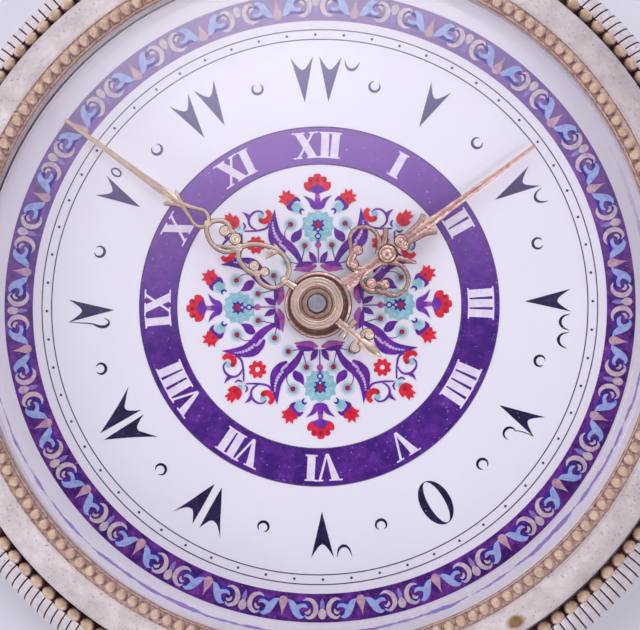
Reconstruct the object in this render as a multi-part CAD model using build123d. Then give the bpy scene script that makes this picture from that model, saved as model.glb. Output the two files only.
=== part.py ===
from build123d import *
import math
import os

# Pocket watch dial in its case front, hands at nine minutes to two
# Millimetres, +Z out of the dial towards the eye, +Y towards twelve o'clock
# Origin on the hands' axis, in the plane of the case band's rear face

# Driving dimensions

# Dial, copper fired with enamel on both faces
dial_radius = 21.5
dial_hole_radius = 1.15
counter_enamel_thickness = 0.25
copper_thickness = 0.3
front_enamel_thickness = 0.45
enamel_edge_round = 0.25
copper_edge_gap = 0.08

# Case band, the coin-edged middle of the case
plate_edge_step = 0.1
plate_side_gap = 0.1
ledge_width = 0.8
ledge_bottom = 1.5
ledge_thickness = 1.2
rear_recess_width = 0.6
neck_wall = 1.15
neck_rise = 0.5
bezel_seat_width = 1.45
bezel_seat_depth = 0.25
band_shoulder_width = 0.7
barrel_bulge = 1.3
barrel_rear_bulge = 0.9
barrel_shoulder_bulge = 0.82
barrel_shoulder_drop = 1.15
barrel_flat_low = 3.2
barrel_flat_height = 1.4
stem_tube_radius = 1.3
stem_tube_bore_radius = 0.8
stem_tube_sink = 0.3

# Bead row round the band, in its channel
band_bead_count = 148
band_bead_radius = 0.3
band_bead_height = 0.58

# Bezel
bezel_side_gap = 0.1
bezel_floor_gap = 0.05
bezel_skirt_gap = 0.25
bezel_edge_height = 1.45
bezel_height = 2.51
bezel_slope_width = 1.78
bezel_bead_margin = 0.52
bezel_lip_width = 0.6
bezel_flange_gap = 0.15
thumb_lip_width = 5.0
thumb_lip_reach = 0.7
thumb_lip_thickness = 0.3
thumb_lip_drop = 0.15

# Bead row round the bezel
bezel_bead_count = 168
bezel_bead_radius = 0.33
bezel_bead_height = 0.6

# Crystal, a flat glass with a bevelled edge
crystal_bite = 0.45
crystal_edge_thickness = 0.5
crystal_thickness = 1.1
crystal_ledge_width = 0.4
crystal_bevel_width = 0.7
crystal_seat_height = 1.75
crystal_groove_gap = 0.02
crystal_clearance = 0.82

# Bezel hinge at nine o'clock
hinge_stand_out = 0.3
hinge_axis_rise = 0.55
hinge_length = 8.0
hinge_middle_length = 2.6
hinge_end_gap = 0.1
knuckle_radius = 0.5
hinge_pin_radius = 0.25
hinge_pin_gap = 0.04
hinge_foot_depth = 0.5
hinge_foot_thickness = 0.43
hinge_foot_reach = 0.25
hinge_notch_gap = 0.03
hinge_leaf_thickness = 0.4

# Mainplate, its recesses as shares of its radius
plate_thickness = 2.4
recess_depth = 1.3
centre_recess_radius = 5.6
train_recess_gap = 0.4
stem_hole_radius = 0.6
barrel_recess_share = 0.35
barrel_offset_share = 0.52
barrel_recess_angle = 125
balance_recess_share = 0.33
balance_offset_share = 0.53
balance_recess_angle = -35
rear_recess_depth = 0.55
bridge_hole_radius = 0.6
bridge_hole_depth = 1.4
bridge_hole_inset = 4.6
bridge_hole_angles = (40, 160, 280)

# Jewels of the going train in the mainplate
jewel_radius = 0.75
jewel_bore_radius = 0.12
jewel_thickness = 0.3
jewel_circle_radius = 8.4
jewel_angles = (190, 225, 262)

# Dial feet and the screws that hold them
foot_radius = 0.45
foot_solder_radius = 0.8
foot_length = 1.9
foot_inset = 3.0
foot_angles = (20, 140, 260)
foot_hole_gap = 0.05
foot_screw_radius = 0.35
foot_screw_gap = 0.03
foot_screw_sink = 0.2
foot_screw_slot_width = 0.14
foot_screw_slot_depth = 0.2

# Case screws, that clamp the plate's rim to the ledge
case_screw_inset = 0.6
case_screw_radius = 0.45
case_screw_gap = 0.05
case_screw_length = 2.6
case_screw_head_radius = 1.1
case_screw_head_thickness = 0.5
case_screw_slot_width = 0.25
case_screw_slot_depth = 0.2
case_screw_angles = (0, 180)

# Motion work: teeth, modules and tooth shape
cannon_teeth = 12
minute_wheel_teeth = 36
minute_pinion_teeth = 10
hour_wheel_teeth = 40
setting_wheel_teeth = 24
train_centre_distance = 4.8
minute_wheel_angle = 60
setting_wheel_angle = 120
backlash = 0.06
pinion_addendum_share = 0.6
pinion_dedendum_share = 1.2
pinion_tip_share = 0.5
wheel_addendum_share = 0.8
wheel_dedendum_share = 1.0
wheel_tip_share = 0.42
wheel_root_share = 1.25

# Heights of the motion work
wheel_thickness = 0.3
floor_gap = 0.15
cannon_leaf_height = 0.5
hour_wheel_thickness = 0.32
minute_pinion_height = 0.65
stud_gap = 0.04
stud_radius = 0.35
stud_length = 1.15
stud_shoulder_radius = 0.7
stud_shoulder_height = 0.2

# Centre arbor, its bush and the pipes
arbor_end_radius = 0.5
arbor_end_length = 1.8
arbor_journal_radius = 0.8
arbor_top_radius = 0.3
bush_radius = 1.3
running_gap = 0.03
fitted_gap = 0.01
cannon_pipe_radius = 0.55
cannon_stand_out = 0.07
arbor_stand_out = 0.03
hour_pipe_gap = 0.06
hour_pipe_wall = 0.24
hour_pipe_stand_out = 0.1

# Domed spring washer between the hour wheel and the dial
washer_thickness = 0.08
washer_radius = 2.6
washer_gap = 0.05

# Hour hand
hour_tip_inset = 4.5
hour_hand_angle = 35.4
hour_hand_height = 0.8
hour_hand_thickness = 0.3
hour_boss_radius = 2.13
hour_eye_radius = 1.3
hour_line_share = 0.0153
hour_collet_flange_radius = 1.6
hour_collet_flange_thickness = 0.25
hour_neck_width_share = 0.05
hour_blade_share = 0.0353
hour_tip_share = 0.0118

# Minute hand
minute_tip_inset = 1.75
minute_hand_angle = 142.9
hands_gap = 0.9
minute_hand_thickness = 0.28
minute_boss_radius = 1.7
minute_boss_rise = 0.12
minute_eye_radius = 1.08
minute_line_share = 0.0112
minute_collet_flange_radius = 1.35
minute_collet_flange_thickness = 0.25
minute_neck_width_share = 0.0253
minute_blade_share = 0.0278
minute_tip_share = 0.0122

# Fretwork of the hour hand, as shares of its length from the eye to the tip
# Scrolls are centre along, centre across, radius, start angle and arc
hour_scroll_shares = (
    (0.272, 0.084, 0.060, -150, -250),
    (0.274, -0.080, 0.060, 120, 285),
    (0.203, 0.057, 0.027, 60, 175),
    (0.200, -0.048, 0.027, 120, 175),
)
hour_ball_shares = (
    (0.239, 0.078, 0.019),
    (0.196, -0.038, 0.021),
    (0.235, -0.074, 0.021),
    (0.328, 0.000, 0.034),
    (0.381, 0.001, 0.030),
)
hour_leaf_shares = (
    ((0.185, 0.026), (0.247, 0.018), (0.300, 0.024), (0.345, 0.002), (0.300, -0.024), (0.247, -0.018),
     (0.185, -0.026)),
    ((0.318, 0.030), (0.337, 0.098), (0.376, 0.094), (0.350, 0.018)),
    ((0.318, -0.025), (0.352, -0.082), (0.378, -0.094), (0.350, -0.020)),
    ((0.385, 0.025), (0.440, 0.020), (0.505, 0.045), (0.512, 0.038), (0.495, 0.012), (0.480, 0.0)),
    ((0.385, -0.025), (0.440, -0.020), (0.505, -0.048), (0.512, -0.040), (0.495, -0.014), (0.480, 0.0)),
)
hour_neck_share = 0.20
hour_shaft_shares = (0.38, 0.50)

# Fretwork of the minute hand, as shares of its length
minute_scroll_shares = (
    (0.174, 0.011, 0.036, 172, -185),
    (0.257, 0.011, 0.038, 182, -192),
    (0.214, 0.026, 0.0865, 199, 142),
    (0.372, -0.012, 0.055, 165, -110),
    (0.389, -0.004, 0.040, 70, -235),
)
minute_ball_shares = (
    (0.202, 0.012, 0.014),
    (0.234, 0.013, 0.015),
    (0.302, 0.001, 0.016),
    (0.328, -0.020, 0.020),
    (0.370, -0.015, 0.014),
    (0.435, 0.003, 0.011),
)
minute_leaf_shares = (
    ((0.201, -0.054), (0.218, -0.076), (0.237, -0.054), (0.221, -0.024)),
    ((0.505, 0.010), (0.545, 0.011), (0.583, 0.031), (0.593, 0.022), (0.583, 0.012), (0.560, 0.0)),
    ((0.505, -0.010), (0.545, -0.011), (0.583, -0.034), (0.593, -0.025), (0.583, -0.013), (0.560, 0.0)),
)
minute_neck_share = 0.145
minute_drop_shares = (0.469, 0.029, 0.525, 0.018)
minute_shaft_shares = (0.50, 0.575)

# Tail of the minute hand, its length a share of the hand's and its parts shares of the tail's
tail_length_share = 0.266
tail_tilt = -4.0
tail_cross_shares = (0.46, 0.057, 0.295, 0.10)
tail_ball_shares = (
    (0.73, 0.10, 0.050),
    (0.70, -0.11, 0.050),
)
tail_scroll_shares = (
    (0.71, 0.10, 0.085, -90, 200),
    (0.69, -0.10, 0.085, 90, -200),
)
tail_leaf_shares = ((0.70, 0.0), (0.80, 0.07), (0.90, 0.065), (1.0, 0.0), (0.90, -0.065), (0.80, -0.07))
tail_neck_width_share = 0.0685

# One overrun for cuts, so that a tool always passes the face it cuts
overrun = 0.5

# Places worked out from the driving dimensions

plate_radius = dial_radius + plate_edge_step
band_bore_radius = plate_radius + plate_side_gap
ledge_radius = band_bore_radius - ledge_width
rear_bore_radius = band_bore_radius + rear_recess_width
neck_radius = band_bore_radius + neck_wall
bezel_seat_radius = neck_radius + bezel_seat_width
band_edge_radius = bezel_seat_radius + band_shoulder_width
case_radius = band_edge_radius + barrel_bulge
band_bead_circle_radius = (bezel_seat_radius + band_edge_radius) / 2
bezel_radius = bezel_seat_radius - bezel_side_gap
skirt_radius = neck_radius + bezel_skirt_gap
bezel_rim_radius = bezel_radius - bezel_slope_width
bezel_bead_circle_radius = bezel_rim_radius - bezel_bead_margin
bezel_opening_radius = bezel_bead_circle_radius - bezel_lip_width
crystal_radius = bezel_opening_radius + crystal_bite
crystal_bevel_radius = bezel_opening_radius - crystal_ledge_width
crystal_flat_radius = crystal_bevel_radius - crystal_bevel_width
hinge_axis_radius = band_edge_radius + hinge_stand_out
foot_circle_radius = dial_radius - foot_inset
case_screw_circle_radius = ledge_radius - case_screw_inset
bridge_hole_circle_radius = plate_radius - bridge_hole_inset
hour_hand_length = dial_radius - hour_tip_inset
minute_hand_length = dial_radius - minute_tip_inset
tail_length = minute_hand_length * tail_length_share
hour_line_width = hour_hand_length * hour_line_share
minute_line_width = minute_hand_length * minute_line_share

plate_bottom = ledge_bottom + ledge_thickness
plate_top = plate_bottom + plate_thickness
recess_floor = plate_top - recess_depth
stem_height = (plate_bottom + plate_top) / 2
foot_screw_height = plate_top - foot_length / 2
counter_top = plate_top + counter_enamel_thickness
copper_top = counter_top + copper_thickness
dial_top = copper_top + front_enamel_thickness

hour_hand_bottom = dial_top + hour_hand_height
hour_hand_top = hour_hand_bottom + hour_hand_thickness
hour_pipe_top = hour_hand_top + hour_pipe_stand_out
minute_hand_bottom = hour_hand_top + hands_gap
minute_hand_top = minute_hand_bottom + minute_hand_thickness
cannon_top = minute_hand_top + cannon_stand_out
arbor_top = cannon_top + arbor_stand_out

crystal_bottom = arbor_top + crystal_clearance
bezel_bottom = crystal_bottom - crystal_seat_height
bezel_edge_top = bezel_bottom + bezel_edge_height
bezel_top = bezel_bottom + bezel_height
bezel_seat_floor = bezel_bottom - bezel_floor_gap
neck_top = bezel_seat_floor + neck_rise
flange_bottom = neck_top + bezel_flange_gap
bead_channel_floor = bezel_seat_floor + bezel_seat_depth
hinge_height = bead_channel_floor + hinge_axis_rise

minute_module = 2 * train_centre_distance / (cannon_teeth + minute_wheel_teeth)
hour_module = 2 * train_centre_distance / (minute_pinion_teeth + hour_wheel_teeth)
setting_distance = minute_module * (minute_wheel_teeth + setting_wheel_teeth) / 2
minute_wheel_place = Vector(train_centre_distance, 0).rotate(Axis.Z, minute_wheel_angle)
setting_wheel_place = minute_wheel_place + Vector(setting_distance, 0).rotate(Axis.Z, setting_wheel_angle)
wheel_bottom = recess_floor + stud_shoulder_height + fitted_gap
cannon_bottom = recess_floor + floor_gap
hour_wheel_bottom = cannon_bottom + cannon_leaf_height + running_gap
hour_wheel_top = hour_wheel_bottom + hour_wheel_thickness
hour_pipe_bore = cannon_pipe_radius + hour_pipe_gap
hour_pipe_radius = hour_pipe_bore + hour_pipe_wall


def at(radius, angle, height=0):
    """A place on a circle about the hands' axis."""
    return Pos(radius * math.cos(math.radians(angle)), radius * math.sin(math.radians(angle)), height)


def turned(*points):
    """A solid of revolution about Z from a straight-sided profile of radius and height."""
    outline = Polyline(*points, close=True)
    return revolve(make_face(Plane.XZ * outline), Axis.Z)


def disc(radius, bottom, top):
    """An upright cylinder between two heights."""
    return Pos(0, 0, bottom) * extrude(Circle(radius), amount=top - bottom)


def ring(outer, inner, bottom, top):
    """An upright tube between two heights."""
    return Pos(0, 0, bottom) * extrude(Circle(outer) - Circle(inner), amount=top - bottom)


def group(pieces):
    """Separate solids kept together as one sub-part."""
    return Compound(children=[solid for piece in pieces for solid in piece.solids()])


def bead(radius, height):
    """One bead of a bead row: a six-sided stud that rises to a point."""
    return loft([RegularPolygon(radius, 6).face(), Vertex(0, 0, height)])


def bead_row(count, circle_radius, radius, height, floor, keep):
    """A row of beads standing on a channel floor, where keep says so."""
    stud = bead(radius, height)
    angles = [360 / count * index for index in range(count)]
    return group([Rot(0, 0, angle) * at(circle_radius, 0, floor) * stud for angle in angles if keep(angle)])


def tooth_outline(teeth, module, addendum_share, dedendum_share, tip_share, root_share):
    """A toothed outline: root, pitch and tip points on both flanks of every tooth."""
    pitch_radius = teeth * module / 2
    root_radius = pitch_radius - dedendum_share * module
    tip_radius = pitch_radius + addendum_share * module
    half_tooth = (math.pi * module / 2 - backlash) / pitch_radius / 2
    flank = (
        (root_radius, half_tooth * root_share),
        (pitch_radius, half_tooth),
        (tip_radius, half_tooth * tip_share),
    )
    points = []
    for index in range(teeth):
        middle = 2 * math.pi * index / teeth
        for radius, half in flank:
            points.append((radius * math.cos(middle - half), radius * math.sin(middle - half)))
        for radius, half in reversed(flank):
            points.append((radius * math.cos(middle + half), radius * math.sin(middle + half)))
    return make_face(Polyline(*points, close=True))


def wheel_face(teeth, module):
    """The toothed disc of a brass wheel."""
    return tooth_outline(
        teeth, module, wheel_addendum_share, wheel_dedendum_share, wheel_tip_share, wheel_root_share
    )


def pinion_face(teeth, module):
    """The leaves of a steel pinion."""
    return tooth_outline(
        teeth, module, pinion_addendum_share, pinion_dedendum_share, pinion_tip_share, 1
    )


def scroll(length, shares, width):
    """One scroll of a hand's fretwork: a flat band along an arc."""
    along, across, radius, start, arc = shares
    centre = (along * length, across * length)
    outer = CenterArc(centre, radius * length + width / 2, start, arc)
    inner = CenterArc(centre, radius * length - width / 2, start, arc)
    ends = [Line(outer @ 0, inner @ 0), Line(outer @ 1, inner @ 1)]
    return make_face([outer, inner, *ends])


def ball(length, shares):
    """A round boss where a scroll ends."""
    along, across, radius = shares
    return Pos(along * length, across * length) * Circle(radius * length)


def leaf(length, shares):
    """A pointed leaf of a hand's fretwork."""
    points = [(along * length, across * length) for along, across in shares]
    return make_face(Polyline(*points, close=True))


def bar(start, end, start_width, end_width):
    """A tapered bar along the hand."""
    corners = (
        (start, start_width / 2), (end, end_width / 2),
        (end, -end_width / 2), (start, -start_width / 2),
    )
    return make_face(Polyline(*corners, close=True))


# Case band


def make_case_band():
    flat_high = barrel_flat_low + barrel_flat_height
    band = turned(
        (rear_bore_radius, 0), (case_radius - barrel_rear_bulge, 0),
        (case_radius, barrel_flat_low), (case_radius, flat_high),
        (band_edge_radius + barrel_shoulder_bulge, bead_channel_floor - barrel_shoulder_drop),
        (band_edge_radius, bead_channel_floor), (bezel_seat_radius, bead_channel_floor),
        (bezel_seat_radius, bezel_seat_floor), (neck_radius, bezel_seat_floor),
        (neck_radius, neck_top), (band_bore_radius, neck_top),
        (band_bore_radius, plate_bottom), (ledge_radius, plate_bottom),
        (ledge_radius, ledge_bottom), (rear_bore_radius, ledge_bottom),
    )
    bore = Pos(0, band_bore_radius - overrun, stem_height) * Rot(-90, 0, 0) * extrude(
        Circle(stem_tube_radius + fitted_gap), amount=case_radius - band_bore_radius + 2 * overrun
    )
    notch_floor = bead_channel_floor - hinge_foot_depth
    notch_length = hinge_length + 2 * hinge_notch_gap
    notch_outer = hinge_axis_radius + hinge_foot_reach + hinge_notch_gap + overrun
    notch = Pos(-notch_outer, -notch_length / 2, notch_floor) * Box(
        notch_outer - bezel_seat_radius, notch_length, hinge_foot_depth + overrun,
        align=(Align.MIN, Align.MIN, Align.MIN),
    )
    return band - bore - notch


def make_stem_tube():
    """The sleeve in the band's wall at twelve o'clock, that the winding stem turns in."""
    length = case_radius - band_bore_radius - 2 * stem_tube_sink
    return Pos(0, band_bore_radius + stem_tube_sink, stem_height) * Rot(-90, 0, 0) * extrude(
        Circle(stem_tube_radius) - Circle(stem_tube_bore_radius), amount=length
    )


def make_band_beads():
    half_notch = hinge_length / 2 + hinge_notch_gap + band_bead_radius
    half_angle = math.degrees(math.asin(half_notch / band_bead_circle_radius))
    return bead_row(
        band_bead_count, band_bead_circle_radius, band_bead_radius, band_bead_height,
        bead_channel_floor, lambda angle: abs(angle - 180) > half_angle,
    )


# Bezel with its bead row and crystal


def make_bezel():
    groove_radius = crystal_radius + crystal_groove_gap
    groove_top = crystal_bottom + crystal_edge_thickness + crystal_groove_gap
    body = turned(
        (skirt_radius, bezel_bottom), (bezel_radius, bezel_bottom), (bezel_radius, bezel_edge_top),
        (bezel_rim_radius, bezel_top), (bezel_opening_radius, bezel_top),
        (bezel_opening_radius, groove_top), (groove_radius, groove_top),
        (groove_radius, crystal_bottom), (bezel_opening_radius, crystal_bottom),
        (bezel_opening_radius, flange_bottom), (skirt_radius, flange_bottom),
    )
    lip_start = (bezel_radius + skirt_radius) / 2
    lip = Pos(lip_start, 0, bezel_edge_top - thumb_lip_drop - thumb_lip_thickness) * Box(
        bezel_radius + thumb_lip_reach - lip_start, thumb_lip_width, thumb_lip_thickness,
        align=(Align.MIN, Align.CENTER, Align.MIN),
    )
    leaf_block = Pos(-lip_start, 0, hinge_height) * Box(
        hinge_axis_radius - lip_start, hinge_middle_length, hinge_leaf_thickness,
        align=(Align.MAX, Align.CENTER, Align.CENTER),
    )
    knuckle = hinge_barrel(-hinge_middle_length / 2, hinge_middle_length / 2)
    pin_hole = hinge_rod(hinge_pin_radius + hinge_pin_gap, hinge_length)
    return body + lip + ((leaf_block + knuckle) - pin_hole)


def hinge_barrel(start, end):
    """A length of hinge tube, not yet bored, between two places along the hinge."""
    return Pos(-hinge_axis_radius, start, hinge_height) * Rot(-90, 0, 0) * extrude(
        Circle(knuckle_radius), amount=end - start
    )


def hinge_rod(radius, length):
    """A round bar on the hinge's axis."""
    return Pos(-hinge_axis_radius, -length / 2, hinge_height) * Rot(-90, 0, 0) * extrude(
        Circle(radius), amount=length
    )


def make_bezel_beads():
    return bead_row(
        bezel_bead_count, bezel_bead_circle_radius, bezel_bead_radius, bezel_bead_height,
        bezel_top, lambda angle: True,
    )


def make_crystal():
    edge_top = crystal_bottom + crystal_edge_thickness
    return turned(
        (0, crystal_bottom), (crystal_radius, crystal_bottom), (crystal_radius, edge_top),
        (crystal_bevel_radius, edge_top), (crystal_flat_radius, crystal_bottom + crystal_thickness),
        (0, crystal_bottom + crystal_thickness),
    )


# Bezel hinge on the band


def make_hinge_knuckles():
    inner_end = hinge_middle_length / 2 + hinge_end_gap
    outer_end = hinge_length / 2
    foot_bottom = bead_channel_floor - hinge_foot_depth
    foot_outer = hinge_axis_radius + hinge_foot_reach
    foot_inner = bezel_seat_radius + hinge_notch_gap
    foot = Pos(-foot_outer, 0, foot_bottom) * Box(
        foot_outer - foot_inner, hinge_length, hinge_foot_thickness,
        align=(Align.MIN, Align.CENTER, Align.MIN),
    )
    joint = foot
    for start, end in ((-outer_end, -inner_end), (inner_end, outer_end)):
        riser = Pos(-hinge_axis_radius, (start + end) / 2, foot_bottom) * Box(
            knuckle_radius, end - start, hinge_height - foot_bottom,
            align=(Align.CENTER, Align.CENTER, Align.MIN),
        )
        joint = joint + riser + hinge_barrel(start, end)
    return joint - hinge_rod(hinge_pin_radius + fitted_gap, 2 * hinge_length)


def make_hinge_pin():
    return hinge_rod(hinge_pin_radius, hinge_length)


# Mainplate and what is fitted in it


def make_mainplate():
    plate = disc(plate_radius, plate_bottom, plate_top)
    minute_tip = minute_module * (minute_wheel_teeth / 2 + wheel_addendum_share)
    setting_tip = minute_module * (setting_wheel_teeth / 2 + wheel_addendum_share)
    pocket = (
        Circle(centre_recess_radius)
        + Pos(*minute_wheel_place) * Circle(minute_tip + train_recess_gap)
        + Pos(*setting_wheel_place) * Circle(setting_tip + train_recess_gap)
    )
    plate = plate - Pos(0, 0, recess_floor) * extrude(pocket, amount=recess_depth + overrun)
    rear_start = plate_bottom - overrun
    for radius, offset, angle in (
        (barrel_recess_share, barrel_offset_share, barrel_recess_angle),
        (balance_recess_share, balance_offset_share, balance_recess_angle),
    ):
        plate = plate - at(offset * plate_radius, angle, rear_start) * extrude(
            Circle(radius * plate_radius), amount=rear_recess_depth + overrun
        )
    through = plate_thickness + 2 * overrun
    bores = [at(0, 0, rear_start) * extrude(Circle(bush_radius + fitted_gap), amount=through)]
    for angle in foot_angles:
        hole = Circle(foot_radius + foot_hole_gap)
        bores.append(at(foot_circle_radius, angle, rear_start) * extrude(hole, amount=through))
        screw_way = Rot(0, 0, angle) * Pos(foot_circle_radius, 0, foot_screw_height) * Rot(0, 90, 0)
        bores.append(screw_way * extrude(
            Circle(foot_screw_radius + foot_screw_gap), amount=plate_radius - foot_circle_radius + overrun
        ))
    for angle in case_screw_angles:
        hole = Circle(case_screw_radius + case_screw_gap)
        bores.append(at(case_screw_circle_radius, angle, rear_start) * extrude(
            hole, amount=overrun + case_screw_length - plate_bottom + ledge_bottom + case_screw_gap
        ))
    for angle in bridge_hole_angles:
        bores.append(at(bridge_hole_circle_radius, angle, rear_start) * extrude(
            Circle(bridge_hole_radius), amount=bridge_hole_depth + overrun
        ))
    for angle in jewel_angles:
        bores.append(at(jewel_circle_radius, angle, rear_start) * extrude(
            Circle(jewel_radius + fitted_gap), amount=jewel_thickness + overrun
        ))
    for place in (minute_wheel_place, setting_wheel_place):
        bores.append(Pos(place.X, place.Y, rear_start) * extrude(
            Circle(stud_radius + fitted_gap), amount=through
        ))
    stem_hole = Pos(0, setting_wheel_place.Y, stem_height) * Rot(-90, 0, 0)
    bores.append(stem_hole * extrude(Circle(stem_hole_radius), amount=plate_radius))
    for bore in bores:
        plate = plate - bore
    return plate


def make_plate_jewels():
    stone = ring(jewel_radius, jewel_bore_radius, 0, jewel_thickness)
    return group([at(jewel_circle_radius, angle, plate_bottom) * stone for angle in jewel_angles])


def make_centre_bush():
    return ring(bush_radius, arbor_journal_radius + running_gap, plate_bottom, recess_floor)


def make_stud(place):
    """A shouldered stud, riveted in the plate, that a motion wheel turns on."""
    bottom = recess_floor
    shoulder = disc(stud_shoulder_radius, bottom, bottom + stud_shoulder_height)
    post = disc(stud_radius, plate_bottom, bottom + stud_length)
    return Pos(place.X, place.Y) * (shoulder + post)


def make_case_screws():
    screws = []
    for angle in case_screw_angles:
        shank = disc(case_screw_radius, ledge_bottom, ledge_bottom + case_screw_length)
        head = disc(case_screw_head_radius, ledge_bottom - case_screw_head_thickness, ledge_bottom)
        slot = Pos(0, 0, ledge_bottom - case_screw_head_thickness) * Box(
            2 * (case_screw_head_radius + overrun), case_screw_slot_width, 2 * case_screw_slot_depth
        )
        screws.append(at(case_screw_circle_radius, angle) * (shank + head - slot))
    return group(screws)


# Dial


def make_front_enamel():
    return turned(
        (dial_hole_radius, copper_top), (dial_radius, copper_top),
        (dial_radius, dial_top - enamel_edge_round / 2), (dial_radius - enamel_edge_round, dial_top),
        (dial_hole_radius, dial_top),
    )


def make_copper_base():
    return ring(dial_radius - copper_edge_gap, dial_hole_radius, counter_top, copper_top)


def make_counter_enamel():
    coat = ring(dial_radius, dial_hole_radius, plate_top, counter_top)
    for angle in foot_angles:
        coat = coat - at(foot_circle_radius, angle, plate_top - overrun) * extrude(
            Circle(foot_solder_radius), amount=counter_enamel_thickness + 2 * overrun
        )
    return coat


def make_dial_feet():
    foot = disc(foot_radius, plate_top - foot_length, counter_top)
    return group([at(foot_circle_radius, angle) * foot for angle in foot_angles])


def make_foot_screws():
    screws = []
    for angle in foot_angles:
        start = foot_circle_radius + foot_radius
        length = plate_radius - foot_screw_sink - start
        screw = extrude(Circle(foot_screw_radius), amount=length)
        slot = Pos(0, 0, length) * Box(
            2 * foot_screw_radius + overrun, foot_screw_slot_width, 2 * foot_screw_slot_depth
        )
        screws.append(Rot(0, 0, angle) * Pos(start, 0, foot_screw_height) * Rot(0, 90, 0) * (screw - slot))
    return group(screws)


# Motion work under the dial


def make_centre_arbor():
    """The rear end takes the centre wheel, the journal turns in the bush, the top carries the pinion."""
    end = disc(arbor_end_radius, plate_bottom - arbor_end_length, plate_bottom)
    journal = disc(arbor_journal_radius, plate_bottom, cannon_bottom)
    return end + journal + disc(arbor_top_radius, cannon_bottom, arbor_top)


def make_cannon_pinion():
    leaves = Pos(0, 0, cannon_bottom) * extrude(
        pinion_face(cannon_teeth, minute_module), amount=cannon_leaf_height
    )
    pipe = disc(cannon_pipe_radius, cannon_bottom, cannon_top)
    bore = disc(arbor_top_radius + fitted_gap, cannon_bottom - overrun, cannon_top + overrun)
    return leaves + pipe - bore


def make_minute_wheel():
    """The wheel meshes with the cannon pinion, so a gap faces the hands' axis."""
    face = wheel_face(minute_wheel_teeth, minute_module) - Circle(minute_hub_radius() + fitted_gap)
    turn = minute_wheel_angle + 180 + 180 / minute_wheel_teeth
    return Pos(minute_wheel_place.X, minute_wheel_place.Y, wheel_bottom) * Rot(0, 0, turn) * extrude(
        face, amount=wheel_thickness
    )


def minute_hub_radius():
    """Radius of the pinion's lower hub, riveted in the minute wheel."""
    return hour_module * (minute_pinion_teeth / 2 - pinion_dedendum_share)


def make_minute_pinion():
    leaf_bottom = wheel_bottom + wheel_thickness
    leaves = Pos(0, 0, leaf_bottom) * extrude(
        pinion_face(minute_pinion_teeth, hour_module), amount=minute_pinion_height
    )
    hub = disc(minute_hub_radius(), wheel_bottom, leaf_bottom)
    bore = disc(stud_radius + stud_gap, recess_floor, plate_top)
    turn = minute_wheel_angle + 180
    return Pos(minute_wheel_place.X, minute_wheel_place.Y) * Rot(0, 0, turn) * (leaves + hub - bore)


def make_hour_wheel():
    """Toothed disc and long pipe in one, with a gap facing the minute pinion's leaf."""
    turn = minute_wheel_angle + 180 / hour_wheel_teeth
    disc_part = Pos(0, 0, hour_wheel_bottom) * Rot(0, 0, turn) * extrude(
        wheel_face(hour_wheel_teeth, hour_module), amount=hour_wheel_thickness
    )
    pipe = disc(hour_pipe_radius, hour_wheel_bottom, hour_pipe_top)
    bore = disc(hour_pipe_bore, hour_wheel_bottom - overrun, hour_pipe_top + overrun)
    return disc_part + pipe - bore


def make_setting_wheel():
    """The idler that the stem turns; its tooth enters a gap of the minute wheel."""
    teeth_between = setting_wheel_angle - minute_wheel_angle
    minute_phase = teeth_between - 180 - 180 / minute_wheel_teeth
    minute_tooth = 360 / minute_wheel_teeth
    offset = minute_phase % minute_tooth / minute_tooth
    setting_tooth = 360 / setting_wheel_teeth
    turn = setting_wheel_angle + 180 + (1 / 2 + offset) * setting_tooth
    face = wheel_face(setting_wheel_teeth, minute_module) - Circle(stud_radius + stud_gap)
    return Pos(setting_wheel_place.X, setting_wheel_place.Y, wheel_bottom) * Rot(0, 0, turn) * extrude(
        face, amount=wheel_thickness
    )


def make_dial_washer():
    """Its inner edge rests on the hour wheel, and its outer edge rises to the dial's underside."""
    bore = hour_pipe_radius + washer_gap
    outer_top = plate_top - running_gap
    return turned(
        (bore, hour_wheel_top), (washer_radius, outer_top - washer_thickness),
        (washer_radius, outer_top), (bore, hour_wheel_top + washer_thickness),
    )


# Hands


def make_hour_hand():
    length = hour_hand_length
    width = hour_line_width
    shape = Circle(hour_boss_radius)
    neck_end = hour_neck_share * length
    neck_width, blade_width, tip_width = (
        share * length for share in (hour_neck_width_share, hour_blade_share, hour_tip_share)
    )
    shape += bar(0, neck_end, neck_width, neck_width)
    for shares in hour_leaf_shares:
        shape += leaf(length, shares)
    for shares in hour_scroll_shares:
        shape += scroll(length, shares, width)
    for shares in hour_ball_shares:
        shape += ball(length, shares)
    shaft_start, blade_start = (share * length for share in hour_shaft_shares)
    shape += bar(shaft_start, blade_start, blade_width, blade_width)
    shape += bar(blade_start, length, blade_width, tip_width)
    shape -= Circle(hour_eye_radius)
    hand = extrude(shape, amount=hour_hand_thickness)
    return Pos(0, 0, hour_hand_bottom) * Rot(0, 0, hour_hand_angle) * hand


def make_hour_collet():
    bottom = hour_hand_bottom - hour_collet_flange_thickness
    bore = hour_pipe_radius + fitted_gap
    hub = hour_eye_radius - fitted_gap
    return turned(
        (bore, bottom), (hour_collet_flange_radius, bottom),
        (hour_collet_flange_radius, hour_hand_bottom), (hub, hour_hand_bottom),
        (hub, hour_hand_top), (bore, hour_hand_top),
    )


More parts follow.
